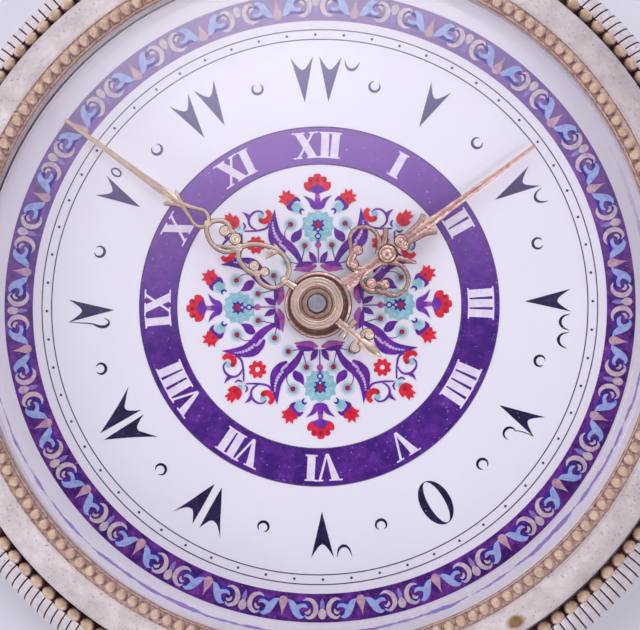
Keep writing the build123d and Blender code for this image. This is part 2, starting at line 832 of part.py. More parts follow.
def make_minute_hand():
    length = minute_hand_length
    width = minute_line_width
    shape = Circle(minute_boss_radius)
    neck_end = minute_neck_share * length
    neck_width, blade_width, tip_width = (
        share * length for share in (minute_neck_width_share, minute_blade_share, minute_tip_share)
    )
    shape += bar(0, neck_end, neck_width, neck_width)
    for shares in minute_leaf_shares:
        shape += leaf(length, shares)
    for shares in minute_scroll_shares:
        shape += scroll(length, shares, width)
    for shares in minute_ball_shares:
        shape += ball(length, shares)
    drop_centre, drop_radius, drop_point, hole_radius = (share * length for share in minute_drop_shares)
    shape += tear_drop(drop_centre, drop_radius, drop_point) - tear_drop(
        drop_centre, hole_radius, drop_point - width
    )
    shaft_start, blade_start = (share * length for share in minute_shaft_shares)
    shape += bar(shaft_start, blade_start, tip_width, blade_width)
    shape += bar(blade_start, length, blade_width, tip_width)
    shape += tail_shape()
    shape -= Circle(minute_eye_radius)
    hand = extrude(shape, amount=minute_hand_thickness)
    boss = ring(minute_boss_radius, minute_eye_radius, 0, minute_hand_thickness + minute_boss_rise)
    return Pos(0, 0, minute_hand_bottom) * Rot(0, 0, minute_hand_angle) * (hand + boss)


def tear_drop(centre, radius, point):
    """A circle drawn out to a point along the hand."""
    half = math.acos(radius / (point - centre))
    touch = (centre + radius * math.cos(half), radius * math.sin(half))
    wedge = make_face(Polyline((centre, 0), touch, (point, 0), (touch[0], -touch[1]), close=True))
    return Pos(centre, 0) * Circle(radius) + wedge


def tail_shape():
    """The counterpoise: a small cross and a fleur-de-lis, behind the eye."""
    cross_place, cross_thickness, cross_span, neck_start = (
        share * tail_length for share in tail_cross_shares
    )
    neck_width = tail_length * tail_neck_width_share
    shape = bar(neck_start, tail_length * tail_leaf_shares[1][0], neck_width, neck_width)
    shape += Pos(cross_place, 0) * Rectangle(cross_thickness, cross_span)
    shape += leaf(tail_length, tail_leaf_shares)
    for shares in tail_scroll_shares:
        shape += scroll(tail_length, shares, minute_line_width)
    for shares in tail_ball_shares:
        shape += ball(tail_length, shares)
    return Rot(0, 0, 180 + tail_tilt) * shape


def make_minute_collet():
    bottom = minute_hand_bottom - minute_collet_flange_thickness
    bore = cannon_pipe_radius + fitted_gap
    hub = minute_eye_radius - fitted_gap
    return turned(
        (bore, bottom), (minute_collet_flange_radius, bottom),
        (minute_collet_flange_radius, minute_hand_bottom), (hub, minute_hand_bottom),
        (hub, minute_hand_top), (bore, minute_hand_top),
    )


nodes = {
    "case_band": make_case_band(),
    "band_bead_row": make_band_beads(),
    "stem_tube": make_stem_tube(),
    "bezel_hinge_knuckles": make_hinge_knuckles(),
    "bezel_hinge_pin": make_hinge_pin(),
    "bezel": make_bezel(),
    "bezel_bead_row": make_bezel_beads(),
    "crystal": make_crystal(),
    "mainplate": make_mainplate(),
    "plate_jewels": make_plate_jewels(),
    "centre_bush": make_centre_bush(),
    "minute_wheel_stud": make_stud(minute_wheel_place),
    "setting_wheel_stud": make_stud(setting_wheel_place),
    "case_screws": make_case_screws(),
    "dial_front_enamel": make_front_enamel(),
    "dial_copper_base": make_copper_base(),
    "dial_counter_enamel": make_counter_enamel(),
    "dial_feet": make_dial_feet(),
    "dial_foot_screws": make_foot_screws(),
    "dial_spring_washer": make_dial_washer(),
    "centre_arbor": make_centre_arbor(),
    "cannon_pinion": make_cannon_pinion(),
    "minute_hand": make_minute_hand(),
    "minute_hand_collet": make_minute_collet(),
    "minute_wheel": make_minute_wheel(),
    "minute_pinion": make_minute_pinion(),
    "setting_wheel": make_setting_wheel(),
    "hour_wheel": make_hour_wheel(),
    "hour_hand": make_hour_hand(),
    "hour_hand_collet": make_hour_collet(),
}

os.makedirs("parts", exist_ok=True)
for name, shape in nodes.items():
    export_step(shape, f"parts/{name}.step")
print(len(nodes), "sub-parts")
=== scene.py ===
"""The front of an open-face pocket watch: its enamel dial, gilt fretwork hands and silver case."""

import math

import bmesh
import bpy
from mathutils import Matrix, Vector


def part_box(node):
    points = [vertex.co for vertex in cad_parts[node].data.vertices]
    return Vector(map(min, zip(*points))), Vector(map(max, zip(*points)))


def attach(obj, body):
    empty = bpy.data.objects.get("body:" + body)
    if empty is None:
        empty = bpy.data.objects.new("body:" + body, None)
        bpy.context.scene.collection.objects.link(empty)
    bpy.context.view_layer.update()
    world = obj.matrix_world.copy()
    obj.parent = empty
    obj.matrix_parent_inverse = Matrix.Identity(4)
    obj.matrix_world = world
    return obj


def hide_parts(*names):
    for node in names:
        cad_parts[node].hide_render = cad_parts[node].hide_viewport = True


bl_info = {
    "name": "Watch Dial",
    "version": (1, 0, 0),
    "blender": (4, 5, 0),
    "location": "View3D > Sidebar > Watch Dial",
    "description": "Builds the visible pieces of an enamel watch dial around its CAD frame",
    "category": "Object",
}

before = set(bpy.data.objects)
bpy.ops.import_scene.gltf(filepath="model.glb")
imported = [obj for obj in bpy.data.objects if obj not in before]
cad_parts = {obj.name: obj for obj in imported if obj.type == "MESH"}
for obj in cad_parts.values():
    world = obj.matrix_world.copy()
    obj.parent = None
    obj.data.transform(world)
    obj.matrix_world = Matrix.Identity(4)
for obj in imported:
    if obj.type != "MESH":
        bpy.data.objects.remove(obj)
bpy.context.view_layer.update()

MM = 0.001
ENAMEL_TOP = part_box("dial_front_enamel")[1].z / MM

# Millimetres: points nearer than this are one, and a corner nearer the axis than this stays sharp
WELD = 0.0005
ON_AXIS = 0.01
# Steps between the points of a printed shape and of a pen stroke, and round a ring
SHAPE_FINENESS = 5
STROKE_FINENESS = 6
RING_STEPS = 360


# Small tools that every piece uses


def linear(code):
    """An sRGB hex colour as linear red, green, blue and alpha."""
    shares = [int(code[i : i + 2], 16) / 255 for i in (0, 2, 4)]
    return [s / 12.92 if s <= 0.04045 else ((s + 0.055) / 1.055) ** 2.4 for s in shares] + [1.0]


def per_mm(size):
    """The scale of a pattern whose feature is this many millimetres, on coordinates in metres."""
    return 1 / (size * MM)


def add_node(tree, kind, settings=(), links=(), output=None):
    """Adds a shader node and gives its named or only output. Capitalised names and numbers are its inputs."""
    node = tree.nodes.new("ShaderNode" + kind)
    for name, value in dict(settings).items():
        if isinstance(name, int) or name[0].isupper():
            node.inputs[name].default_value = value
        else:
            setattr(node, name, value)
    for name, socket in dict(links).items():
        tree.links.new(socket, node.inputs[name])
    if output:
        return node.outputs[output]
    return next((socket for socket in node.outputs if socket.enabled), None)


def bare(name):
    """A new material with an empty tree, and the place on the piece that its patterns follow."""
    material = bpy.data.materials.new(name)
    material.use_nodes = True
    tree = material.node_tree
    tree.nodes.clear()
    return material, tree, add_node(tree, "TexCoord", output="Object")


def clock(radius, angle):
    """A place at a clock angle in degrees, clockwise from twelve."""
    turn = math.radians(angle)
    return radius * math.sin(turn), radius * math.cos(turn)


def finished(bm, name, materials, body, replaced=(), sharp=38):
    """Makes a bmesh in millimetres a finished piece that rides on a body of the frame."""
    bmesh.ops.scale(bm, vec=(MM, MM, MM), verts=bm.verts)
    mesh = bpy.data.meshes.new(name)
    bm.to_mesh(mesh)
    bm.free()
    for material in materials:
        mesh.materials.append(material)
    mesh.shade_smooth()
    mesh.set_sharp_from_angle(angle=math.radians(sharp))
    piece = bpy.data.objects.new(name, mesh)
    bpy.context.scene.collection.objects.link(piece)
    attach(piece, body)
    if replaced:
        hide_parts(*replaced)
    return piece


def turn_by(bm, verts, angle, axis="Z"):
    """Turns vertices about an axis of the frame, by an angle in radians."""
    bmesh.ops.rotate(bm, verts=verts, matrix=Matrix.Rotation(angle, 3, axis))


def spun(bm, profile, steps):
    """Spins a profile once round the upright axis and closes it on itself."""
    bmesh.ops.spin(
        bm, geom=profile, axis=(0, 0, 1), cent=(0, 0, 0), angle=math.tau, steps=steps, use_merge=True
    )


def rounded(bm, geom, radius, affect, segments=2):
    """Rounds edges or corners of a bmesh."""
    bmesh.ops.bevel(
        bm, geom=geom, offset=radius, offset_type="OFFSET", affect=affect, segments=segments, profile=0.5,
        material=-1, clamp_overlap=affect == "VERTICES",
    )


def turned(corners, steps, rounding=0.0, segments=2):
    """A ring or disc turned on a lathe from corners of radius and height, its corners rounded."""
    bm = bmesh.new()
    bm.faces.new([bm.verts.new((r, 0, z)) for r, z in corners])
    if rounding:
        rounded(bm, [v for v in bm.verts if v.co.x > ON_AXIS], rounding, "VERTICES", segments)
    bmesh.ops.delete(bm, geom=bm.faces[:], context="FACES_ONLY")
    spun(bm, bm.verts[:] + bm.edges[:], steps)
    bmesh.ops.remove_doubles(bm, verts=bm.verts, dist=WELD)
    bmesh.ops.recalc_face_normals(bm, faces=bm.faces)
    return bm


def add_curve(bm, curve):
    """Adds a Blender curve, as a mesh, to a bmesh, and removes the curve."""
    helper = bpy.data.objects.new("helper_curve", curve)
    bpy.context.scene.collection.objects.link(helper)
    bpy.context.view_layer.update()
    shown = helper.evaluated_get(bpy.context.evaluated_depsgraph_get())
    mesh = bpy.data.meshes.new_from_object(shown)
    older = set(bm.verts)
    bm.from_mesh(mesh)
    bpy.data.objects.remove(helper)
    bpy.data.curves.remove(curve)
    bpy.data.meshes.remove(mesh)
    return [v for v in bm.verts if v not in older]


def spline(curve, points, closed, radii=None, corners=()):
    """One smooth line through points, with sharp corners where they are named."""
    line = curve.splines.new("BEZIER")
    line.bezier_points.add(len(points) - 1)
    for index, (knot, point) in enumerate(zip(line.bezier_points, points)):
        knot.co = (point[0], point[1], point[2] if len(point) > 2 else 0)
        kind = "VECTOR" if index in corners else "AUTO"
        knot.handle_left_type = kind
        knot.handle_right_type = kind
        if radii:
            knot.radius = radii[index]
    line.use_cyclic_u = closed
    return line


def add_shape(bm, *outlines, height=0.0, corners=()):
    """A flat filled shape from closed outlines; a second outline is a hole."""
    curve = bpy.data.curves.new("shape", "CURVE")
    curve.dimensions = "2D"
    curve.fill_mode = "BOTH"
    curve.resolution_u = SHAPE_FINENESS
    for outline in outlines:
        spline(curve, outline, True, corners=corners)
    verts = add_curve(bm, curve)
    bmesh.ops.translate(bm, vec=(0, 0, height), verts=verts)
    return verts


def add_stroke(bm, points, widths, height):
    """A flat pen stroke through points, as wide at each as widths says."""
    curve = bpy.data.curves.new("stroke", "CURVE")
    curve.dimensions = "3D"
    curve.twist_mode = "Z_UP"
    curve.resolution_u = STROKE_FINENESS
    curve.extrude = 0.5
    line = spline(curve, points, False, radii=widths)
    for knot in line.bezier_points:
        knot.tilt = math.pi / 2
    verts = add_curve(bm, curve)
    bmesh.ops.translate(bm, vec=(0, 0, height), verts=verts)
    return verts


def add_dot(bm, place, radius, height, steps=16):
    """A flat round dot."""
    made = bmesh.ops.create_circle(bm, cap_ends=True, segments=steps, radius=radius)
    bmesh.ops.translate(bm, vec=(*place, height), verts=made["verts"])


def add_band(bm, inner, outer, height):
    """A flat ring."""
    start = [bm.verts.new((inner, 0, height)), bm.verts.new((outer, 0, height))]
    spun(bm, start + [bm.edges.new(start)], RING_STEPS)


def face_up(bm):
    """Turns every flat face of a print to the front."""
    bm.normal_update()
    bmesh.ops.reverse_faces(bm, faces=[f for f in bm.faces if f.normal.z < 0])


# Finishes


MIX = {"data_type": "RGBA"}
SPECK_WHITE = "b9b2c4"
HOLE_WHITE = "cfc3e6"
CRUST = ("3a2a18", "b08a58")
# Painted glare: the transfer colours are paler towards this side of the dial, by up to this share
GLARE_SIDE = (-0.12, 0.99, 0.0)
GLARE_SHARE = 0.64
# The glaze that the white and the colours share, and the height of fine relief in metres
GLAZE = {"Roughness": 0.19, "IOR": 1.52}
FINE_RELIEF = 0.00002


def colour(source):
    """A colour as linear values: a hex code, or one that the user may change, named by its group."""
    if "." not in source:
        return linear(source)
    group, name = source.split(".")
    return list(getattr(getattr(bpy.context.scene, group), name))


def worn_metal(name, bright, dull, stain, roughness, stain_share=0.12, grain=0.9, chasing=0.0, blot=()):
    """A polished precious metal, with handling haze, fine pits, a little tarnish and what the graver left."""
    material, tree, place = bare(name)
    haze = add_node(
        tree, "TexNoise", {"Scale": per_mm(grain), "Detail": 5.0, "Roughness": 0.65}, {"Vector": place}
    )
    pits = add_node(tree, "TexNoise", {"Scale": per_mm(0.16), "Detail": 3.0}, {"Vector": place})
    tone = add_node(tree, "MapRange", {"From Min": 0.32, "From Max": 0.68}, {"Value": haze})
    body = add_node(tree, "Mix", {**MIX, 6: colour(bright), 7: colour(dull)}, {0: tone})
    spots = add_node(
        tree, "MapRange",
        {"From Min": 0.74 - stain_share, "From Max": 0.80 - stain_share / 2, "To Max": 0.85}, {"Value": pits},
    )
    shown = add_node(tree, "Mix", {**MIX, 7: colour(stain)}, {0: spots, 6: body})
    if blot:
        centre, radius = [c * MM for c in blot[0]], blot[1] * MM
        away = add_node(tree, "VectorMath", {"operation": "DISTANCE", 1: centre}, {0: place})
        ragged = add_node(tree, "Math", {"operation": "MULTIPLY_ADD", 1: radius * 1.6}, {0: haze, 2: away})
        share = add_node(
            tree, "MapRange", {"From Min": radius * 1.75, "From Max": radius * 1.3, "To Max": 0.95},
            {"Value": ragged},
        )
        crust = add_node(tree, "Mix", {**MIX, 6: linear(CRUST[0]), 7: linear(CRUST[1])}, {0: pits})
        shown = add_node(tree, "Mix", MIX, {0: share, 6: shown, 7: crust})
    rough = add_node(
        tree, "MapRange", {"To Min": roughness * 0.8, "To Max": roughness * 1.45}, {"Value": haze}
    )
    scratches = add_node(
        tree, "Mapping", {"Scale": (1.0, 0.06, 1.0), "Rotation": (0.0, 0.0, 0.6)}, {"Vector": place}
    )
    fine = add_node(tree, "TexNoise", {"Scale": per_mm(0.08), "Detail": 2.0}, {"Vector": scratches})
    relief = add_node(tree, "Bump", {"Strength": 0.18, "Distance": FINE_RELIEF}, {"Height": fine})
    if chasing:
        cuts = add_node(tree, "TexNoise", {"Scale": per_mm(0.17), "Detail": 2.0}, {"Vector": place})
        relief = add_node(
            tree, "Bump", {"Strength": 0.5, "Distance": chasing * MM}, {"Height": cuts, "Normal": relief}
        )
    shader = add_node(
        tree, "BsdfPrincipled", {"Metallic": 1.0, "Roughness": roughness},
        {"Base Color": shown, "Roughness": rough, "Normal": relief},
    )
    add_node(tree, "OutputMaterial", links={"Surface": shader})
    return material


def fired_enamel(name, white, cloud):
    """White vitreous enamel: a glassy surface over milky glass, with faint clouds and grit."""
    material, tree, place = bare(name)
    clouds = add_node(tree, "TexNoise", {"Scale": per_mm(6.0), "Detail": 4.0}, {"Vector": place})
    grit = add_node(tree, "TexNoise", {"Scale": per_mm(0.12), "Detail": 1.0}, {"Vector": place})
    specks = add_node(tree, "MapRange", {"From Min": 0.78, "From Max": 0.84, "To Max": 0.5}, {"Value": grit})
    tone = add_node(tree, "Mix", {**MIX, 6: colour(white), 7: colour(cloud)}, {0: clouds})
    speckled = add_node(tree, "Mix", {**MIX, 7: linear(SPECK_WHITE)}, {0: specks, 6: tone})
    ripple = add_node(tree, "Bump", {"Strength": 0.08, "Distance": FINE_RELIEF}, {"Height": clouds})
    shader = add_node(tree, "BsdfPrincipled", GLAZE, {"Base Color": speckled, "Normal": ripple})
    add_node(tree, "OutputMaterial", links={"Surface": shader})
    return material


def printed_enamel(name, deep, light, grain=1.2, specks=0.0, glare_colour="", reach=10.0):
    """A fired transfer colour: uneven, with white specks, and paler towards the top of the dial in painted
    glare of light on the glass.
    """
    material, tree, place = bare(name)
    uneven = add_node(
        tree, "TexNoise", {"Scale": per_mm(grain), "Detail": 6.0, "Roughness": 0.72}, {"Vector": place}
    )
    share = add_node(tree, "MapRange", {"From Min": 0.42, "From Max": 0.68}, {"Value": uneven})
    shown = add_node(tree, "Mix", {**MIX, 6: colour(deep), 7: colour(light)}, {0: share})
    if glare_colour:
        # Painted glare: the colour grows paler towards the top of the dial, where the glass reflects the
        # light
        upward = add_node(tree, "VectorMath", {"operation": "DOT_PRODUCT", 1: GLARE_SIDE}, {0: place})
        painted_glare = add_node(
            tree, "MapRange", {"From Min": -0.15 * reach * MM, "From Max": reach * MM, "To Max": GLARE_SHARE},
            {"Value": upward},
        )
        shown = add_node(tree, "Mix", {**MIX, 7: linear(glare_colour)}, {0: painted_glare, 6: shown})
    if specks:
        grit = add_node(tree, "TexNoise", {"Scale": per_mm(0.11), "Detail": 1.0}, {"Vector": place})
        holes = add_node(
            tree, "MapRange", {"From Min": 0.78 - specks, "From Max": 0.83 - specks, "To Max": 0.75},
            {"Value": grit},
        )
        shown = add_node(tree, "Mix", {**MIX, 7: linear(HOLE_WHITE)}, {0: holes, 6: shown})
    shader = add_node(tree, "BsdfPrincipled", GLAZE, {"Base Color": shown})
    add_node(tree, "OutputMaterial", links={"Surface": shader})
    return material


def glass_shader(tree):
    """Glass that is seen straight through: only its gloss is drawn, stronger at a slant."""
    clear = add_node(tree, "BsdfTransparent", {"Color": linear("fbfafd")})
    gloss = add_node(tree, "BsdfGlossy", {"Roughness": 0.14})
    slant = add_node(tree, "LayerWeight", {"Blend": 0.5}, output="Facing")
    steep = add_node(tree, "Math", {"operation": "POWER", 1: 5.0}, {0: slant})
    share = add_node(tree, "MapRange", {"To Min": 0.04}, {"Value": steep})
    return add_node(tree, "MixShader", links={0: share, 1: clear, 2: gloss})


def watch_glass(name):
    """Mineral glass of the crystal's flat."""
    material, tree, _ = bare(name)
    add_node(tree, "OutputMaterial", links={"Surface": glass_shader(tree)})
    return material


def bevel_glass(name):
    """The glass's bevel, with a painted reflection of the dial's outer band: a broken violet line drawn in
    its lower half.
    """
    material, tree, place = bare(name)
    # Painted reflection of the violet band: a broken line round a wandering radius, only on the bevel's lower
    # half
    flat = add_node(tree, "VectorMath", {"operation": "MULTIPLY", 1: (1.0, 1.0, 0.0)}, {0: place})
    radius = add_node(tree, "VectorMath", {"operation": "LENGTH"}, {0: flat})
    wander = add_node(tree, "TexNoise", {"Scale": per_mm(3.0), "Detail": 3.0}, {"Vector": place})
    target = add_node(tree, "MapRange", {"To Min": 20.5 * MM, "To Max": 20.8 * MM}, {"Value": wander})
    off = add_node(tree, "Math", {"operation": "SUBTRACT"}, {0: radius, 1: target})
    away = add_node(tree, "Math", {"operation": "ABSOLUTE"}, {0: off})
    breaks = add_node(tree, "TexNoise", {"Scale": per_mm(1.3), "Detail": 4.0}, {"Vector": place})
    width = add_node(
        tree, "MapRange", {"From Min": 0.24, "From Max": 0.7, "To Max": 0.17 * MM}, {"Value": breaks}
    )
    edge = add_node(tree, "Math", {"operation": "SUBTRACT"}, {0: width, 1: away})
    line = add_node(tree, "MapRange", {"From Max": 0.05 * MM, "To Max": 0.8}, {"Value": edge})
    side = add_node(tree, "VectorMath", {"operation": "DOT_PRODUCT", 1: (0.1, -1.0, 0.0)}, {0: place})
    lower = add_node(tree, "MapRange", {"From Min": -8 * MM, "From Max": 4 * MM}, {"Value": side})
    seen = add_node(tree, "Math", {"operation": "MULTIPLY"}, {0: line, 1: lower})
    violet = add_node(tree, "BsdfPrincipled", {"Base Color": linear("6f4fb4"), "Roughness": 0.3})
    mixed = add_node(tree, "MixShader", links={0: seen, 1: glass_shader(tree), 2: violet})
    add_node(tree, "OutputMaterial", links={"Surface": mixed})
    return material


def ruby(name):
    """Synthetic ruby of the plate jewels: deep pink, polished."""
    material, tree, place = bare(name)
    veil = add_node(tree, "TexNoise", {"Scale": per_mm(0.5), "Detail": 2.0}, {"Vector": place})
    tone = add_node(tree, "Mix", {**MIX, 6: linear("b3123f"), 7: linear("d8416a")}, {0: veil})
    shader = add_node(
        tree, "BsdfPrincipled", {"Roughness": 0.08, "IOR": 1.77, "Transmission Weight": 0.4},
        {"Base Color": tone},
    )
    add_node(tree, "OutputMaterial", links={"Surface": shader})
    return material


def floor_paper(name, pale):
    """Matt studio paper, with painted shade that darkens it towards the bottom, below the dial."""
    material, tree, place = bare(name)
    fibre = add_node(tree, "TexNoise", {"Scale": per_mm(8.0), "Detail": 3.0}, {"Vector": place})
    pale = colour(pale)
    dark = [c * 0.97 for c in pale[:3]] + [1.0]
    tone = add_node(tree, "Mix", {**MIX, 6: pale, 7: dark}, {0: fibre})
    # Painted shade: the paper is mixed towards black towards the bottom of the frame
    upward = add_node(tree, "VectorMath", {"operation": "DOT_PRODUCT", 1: (0.0, 1.0, 0.0)}, {0: place})
    sweep = add_node(
        tree, "MapRange", {"From Min": 30 * MM, "From Max": -30 * MM, "To Max": 0.2}, {"Value": upward}
    )
    shown = add_node(tree, "Mix", {**MIX, 7: (0.0, 0.0, 0.0, 1.0)}, {0: sweep, 6: tone})
    shader = add_node(tree, "BsdfPrincipled", {"Roughness": 0.9}, {"Base Color": shown})
    add_node(tree, "OutputMaterial", links={"Surface": shader})
    return material


def finish(name):
    """The material of that name, made once. No name here is one of the frame's own materials."""
    make, *values = FINISHES[name]
    return bpy.data.materials.get(name) or make(name, *values)


# Metals: bright, dull and stain colours, roughness, share of stains, grain in millimetres, depth of chasing.
# Transfer colours: deep and light colour, grain, share of specks, colour of the painted glare towards the
# top, radius it fades over.
FINISHES = {
    # Coin silver, polished and long handled: pale with a warm cast and small dark pits
    "silver_polished": (worn_metal, "watch_case.silver", "d9cdd0", "7d6a6b", 0.42, 0.13),
    # The same silver on the bezel's slope: wiped duller, with grey speckle and one brown blot
    "silver_bezel_slope": (
        worn_metal, "d2c7cc", "bfb3b8", "857578", 0.58, 0.13, 1.4, 0.0, ((12.15, -20.15, 9.5), 0.66),
    ),
    # Silver in grooves and channels, where polish never reaches: dark red-brown sulphide
    "silver_tarnished": (worn_metal, "watch_case.tarnish", "432824", "261616", 0.6, 0.3),
    # Flanks of the beads: silver, warm from the tarnish beside them
    "bead_silver": (worn_metal, "e0ccc8", "c7aca6", "7d5a50", 0.4, 0.06, 0.5),
    # Crowns of the beads: a painted soft gold highlight on their tops
    "bead_crown": (worn_metal, "d5bda6", "bea48c", "86643f", 0.66, 0.08, 0.5),
    # Grease and wear in the bead channel: pinkish silver over brown
    "bead_channel": (worn_metal, "ecd8d2", "d0b5ad", "8d6a60", 0.6, 0.2, 0.4),
    # Brown line where the channel's inner lip meets the glass
    "lip_brown": (worn_metal, "c8a89c", "a3796b", "5f4038", 0.6, 0.2, 0.4),
    # Rose gilding over brass, chased and burnished: the minute hand
    "rose_gilt": (worn_metal, "watch_hands.gilt", "e0c4ae", "8c6048", 0.34, 0.1, 0.4, 0.045),
    # The same gilding, redder where it is worn, and deeper chased: the hour hand
    "rose_gilt_worn": (worn_metal, "watch_hands.worn_gilt", "c2978a", "6b463c", 0.3, 0.14, 0.3, 0.07),
    # Painted shade on the steep sides of the fretwork: its dark brown outline
    "hand_grime": (worn_metal, "96695a", "6e4a3e", "38241e", 0.45, 0.2, 0.3),
    # Oiled bronze in the minute hand's collet: dark taupe
    "collet_bronze": (worn_metal, "ccab9c", "a08070", "4c3630", 0.42, 0.14, 0.3),
    # Hardened steel, grey-polished: cool soft lights
    "polished_steel": (worn_metal, "c9c9d6", "aaa9b6", "6a6975", 0.32, 0.08, 0.4),
    # Steel screws, tempered blue: deep blue with sharp lights
    "blued_steel": (worn_metal, "35406e", "262d52", "161a30", 0.25, 0.04, 0.5),
    # Gilt brass of the plate: frosted gold
    "plate_gilt": (worn_metal, "e6c27a", "cfa75c", "8b6a38", 0.42, 0.08, 0.25),
    # Plain brass wheels: yellow and bright
    "wheel_brass": (worn_metal, "e8c981", "cda55e", "80602f", 0.3, 0.06, 0.4),
    # Copper of the dial's base, dulled by the kiln
    "fired_copper": (worn_metal, "b8694b", "8b4a35", "3f221b", 0.45, 0.25, 0.6),
    # White vitreous enamel: milky, with a soft gloss
    "vitreous_white": (fired_enamel, "watch_print.white", "eeecf5"),
    # The back's enamel: greyer than the front's
    "counter_enamel": (fired_enamel, "d9d7dd", "c6c3cb"),
    # The crystal: clear, with a faint gloss
    "mineral_glass": (watch_glass,),
    # The crystal's bevel: clear, with a painted reflection of the violet band as a broken line
    "bevel_glass": (bevel_glass,),
    # Synthetic ruby of the jewels: deep pink, glassy
    "synthetic_ruby": (ruby,),
    # Matt paper under the dial: pale lilac grey, with painted shade towards the bottom
    "studio_paper": (floor_paper, "watch_stage.paper"),
    # Transfer colours, fired on the white: the Roman band's violet, uneven, with white specks, paler at the
    # top in painted glare
    "violet_band": (printed_enamel, "watch_print.violet", "692b9c", 1.1, 0.05, "a67ccb"),
    # The outer band's violet: mottled, plum to violet, paler at the top in painted glare
    "outer_band_violet": (printed_enamel, "42146e", "8a3fb0", 0.8, 0.03, "a98ccc", 19.0),
    # Blue-black of the numerals, with pinholes, paler at the top in painted glare
    "ink": (printed_enamel, "watch_print.ink", "38245c", 0.8, 0.05, "8c7fb0", 15.0),
    # Fine grey-violet of the minute track
    "line_grey": (printed_enamel, "4a3d60", "665a7c", 0.6),
    # The numerals left open in the band: nearly white
    "cream_letters": (printed_enamel, "f0e9f5", "ddd0ea", 0.5),
    # Stems: clear violet
    "stem_violet": (printed_enamel, "65209a", "8d42be", 0.5),
    # Leaves: deep violet
    "leaf_violet": (printed_enamel, "541290", "8228aa", 0.6),
    # Dots of the vein: pale lilac
    "vein_lilac": (printed_enamel, "d3c3e8", "bfa6dc", 0.3),
    # Buds and the leaves near the hub: magenta
    "magenta": (printed_enamel, "a23a9c", "c878be", 0.5),
    # Petals: bright red
    "flower_red": (printed_enamel, "watch_print.red", "f0334a", 0.5),
    # Shade in the petals and hearts of the buds: dark red
    "crimson": (printed_enamel, "9a0f3a", "b8295a", 0.4),
    # Ground of the round flowers: pale teal, run thin
    "teal": (printed_enamel, "86c1cc", "b3dbe2", 0.4),
    # Halos: a wash of blue that fades into the white
    "pale_halo": (printed_enamel, "c9dbe6", "dbe6ef", 0.4),
    # Inner halos, a step darker
    "halo_blue": (printed_enamel, "9bbccb", "b5cfdb", 0.3),
    # Crescents of the outer band: pale blue
    "pale_blue": (printed_enamel, "b3c6f2", "8799df", 0.3),
    # Scrolls of the outer band: cream, lilac in their shade
    "cream": (printed_enamel, "e2d3d3", "b7a0c4", 0.3),
    # Buds of the outer band: dusty pink
    "pink": (printed_enamel, "dbb4b8", "a97fb6", 0.3),
    # Stalks of the outer band's buds: grey violet
    "stalk_blue": (printed_enamel, "8a7bc8", "a79ad6", 0.35),
    # Shade inside the scrolls: indigo
    "indigo": (printed_enamel, "35219a", "5138b0", 0.4),
}


# Sizes and colours that a user would change


def number(name, description, default, **more):
    """A plain number."""
    return bpy.props.FloatProperty(name=name, description=description, default=default, **more)


def length(name, description, millimetres):
    """A length, given in millimetres and kept in metres."""
    return number(name, description, millimetres * MM, unit="LENGTH", precision=4)


def angle(name, description, degrees):
    """An angle, given in degrees."""
    return number(name, description, math.radians(degrees), subtype="ANGLE")


def whole(name, description, default):
    """A count."""
    return bpy.props.IntProperty(name=name, description=description, default=default, min=3)


def shade(name, description, code):
    """A colour, given as a hex code."""
    return bpy.props.FloatVectorProperty(
        name=name, description=description, default=linear(code), size=4, min=0.0, max=1.0, subtype="COLOR"
    )


class CaseSettings(bpy.types.PropertyGroup):
    reed_count: whole("Reeds", "Flats of the coin edge round the band", 288)
    reed_depth: length("Reed depth", "How deep the lines between the flats are cut", 0.08)
    band_bead_count: whole("Band beads", "Beads in the band's channel", 148)
    bezel_bead_count: whole("Bezel beads", "Beads round the crystal", 168)
    corner_round: length("Corner rounding", "How far the silver's edges are worn round", 0.05)
    silver: shade("Silver", "Polished silver of the band and the bezel", "f0e8ea")
    tarnish: shade("Tarnish", "Sulphide in the silver's grooves", "6b403a")


class PrintSettings(bpy.types.PropertyGroup):
    roman_inner: length("Roman band inside", "Inner radius of the Roman band", 8.95)
    roman_outer: length("Roman band outside", "Outer radius of the Roman band", 11.37)
    scroll_inner: length("Scroll band inside", "Inner radius of the band of scrolls", 18.1)
    scroll_outer: length("Scroll band outside", "Outer radius of the band of scrolls", 19.9)
    track_inner: length("Minute track inside", "Radius of the minute track's inner line", 16.91)
    track_outer: length("Minute track outside", "Radius of the minute track's outer line", 17.52)
    white: shade("White", "The dial's white enamel", "f5f3f9")
    violet: shade("Violet", "The Roman band", "3f1276")
    ink: shade("Ink", "The wedge numerals", "1a0a36")
    red: shade("Red", "The flowers' petals", "d81031")


class HandSettings(bpy.types.PropertyGroup):
    hour_turn: angle("Hour hand", "Turn from three o'clock", 35.4)
    minute_turn: angle("Minute hand", "Turn from three o'clock", 142.9)
    gilt: shade("Gilt", "Rose gilding of the minute hand", "f2ddc9")
    worn_gilt: shade("Worn gilt", "Redder gilding of the hour hand", "efc9bc")


class StageSettings(bpy.types.PropertyGroup):
    camera_height: length("Camera height", "Camera above the dial", 350.0)
    camera_right: length("Camera right", "Camera to the right of the hands' axis", 19.3)
    camera_below: length("Camera below", "Camera below the hands' axis", 27.6)
    camera_roll: angle("Camera roll", "Turn about the line of sight", -0.8)
    lens: number("Lens", "Focal length", 314.15, subtype="DISTANCE_CAMERA")
    tent_power: number("Tent light", "Power of each wall of the soft tent", 1.0, unit="POWER")
    high_power: number("High light", "Power of each high soft light", 1.0, unit="POWER")
    wash_power: number("Wash", "Power of the small panel that the glass mirrors", 0.1, unit="POWER")
    paper: shade("Paper", "The studio paper under the dial", "dcdbea")


# The case


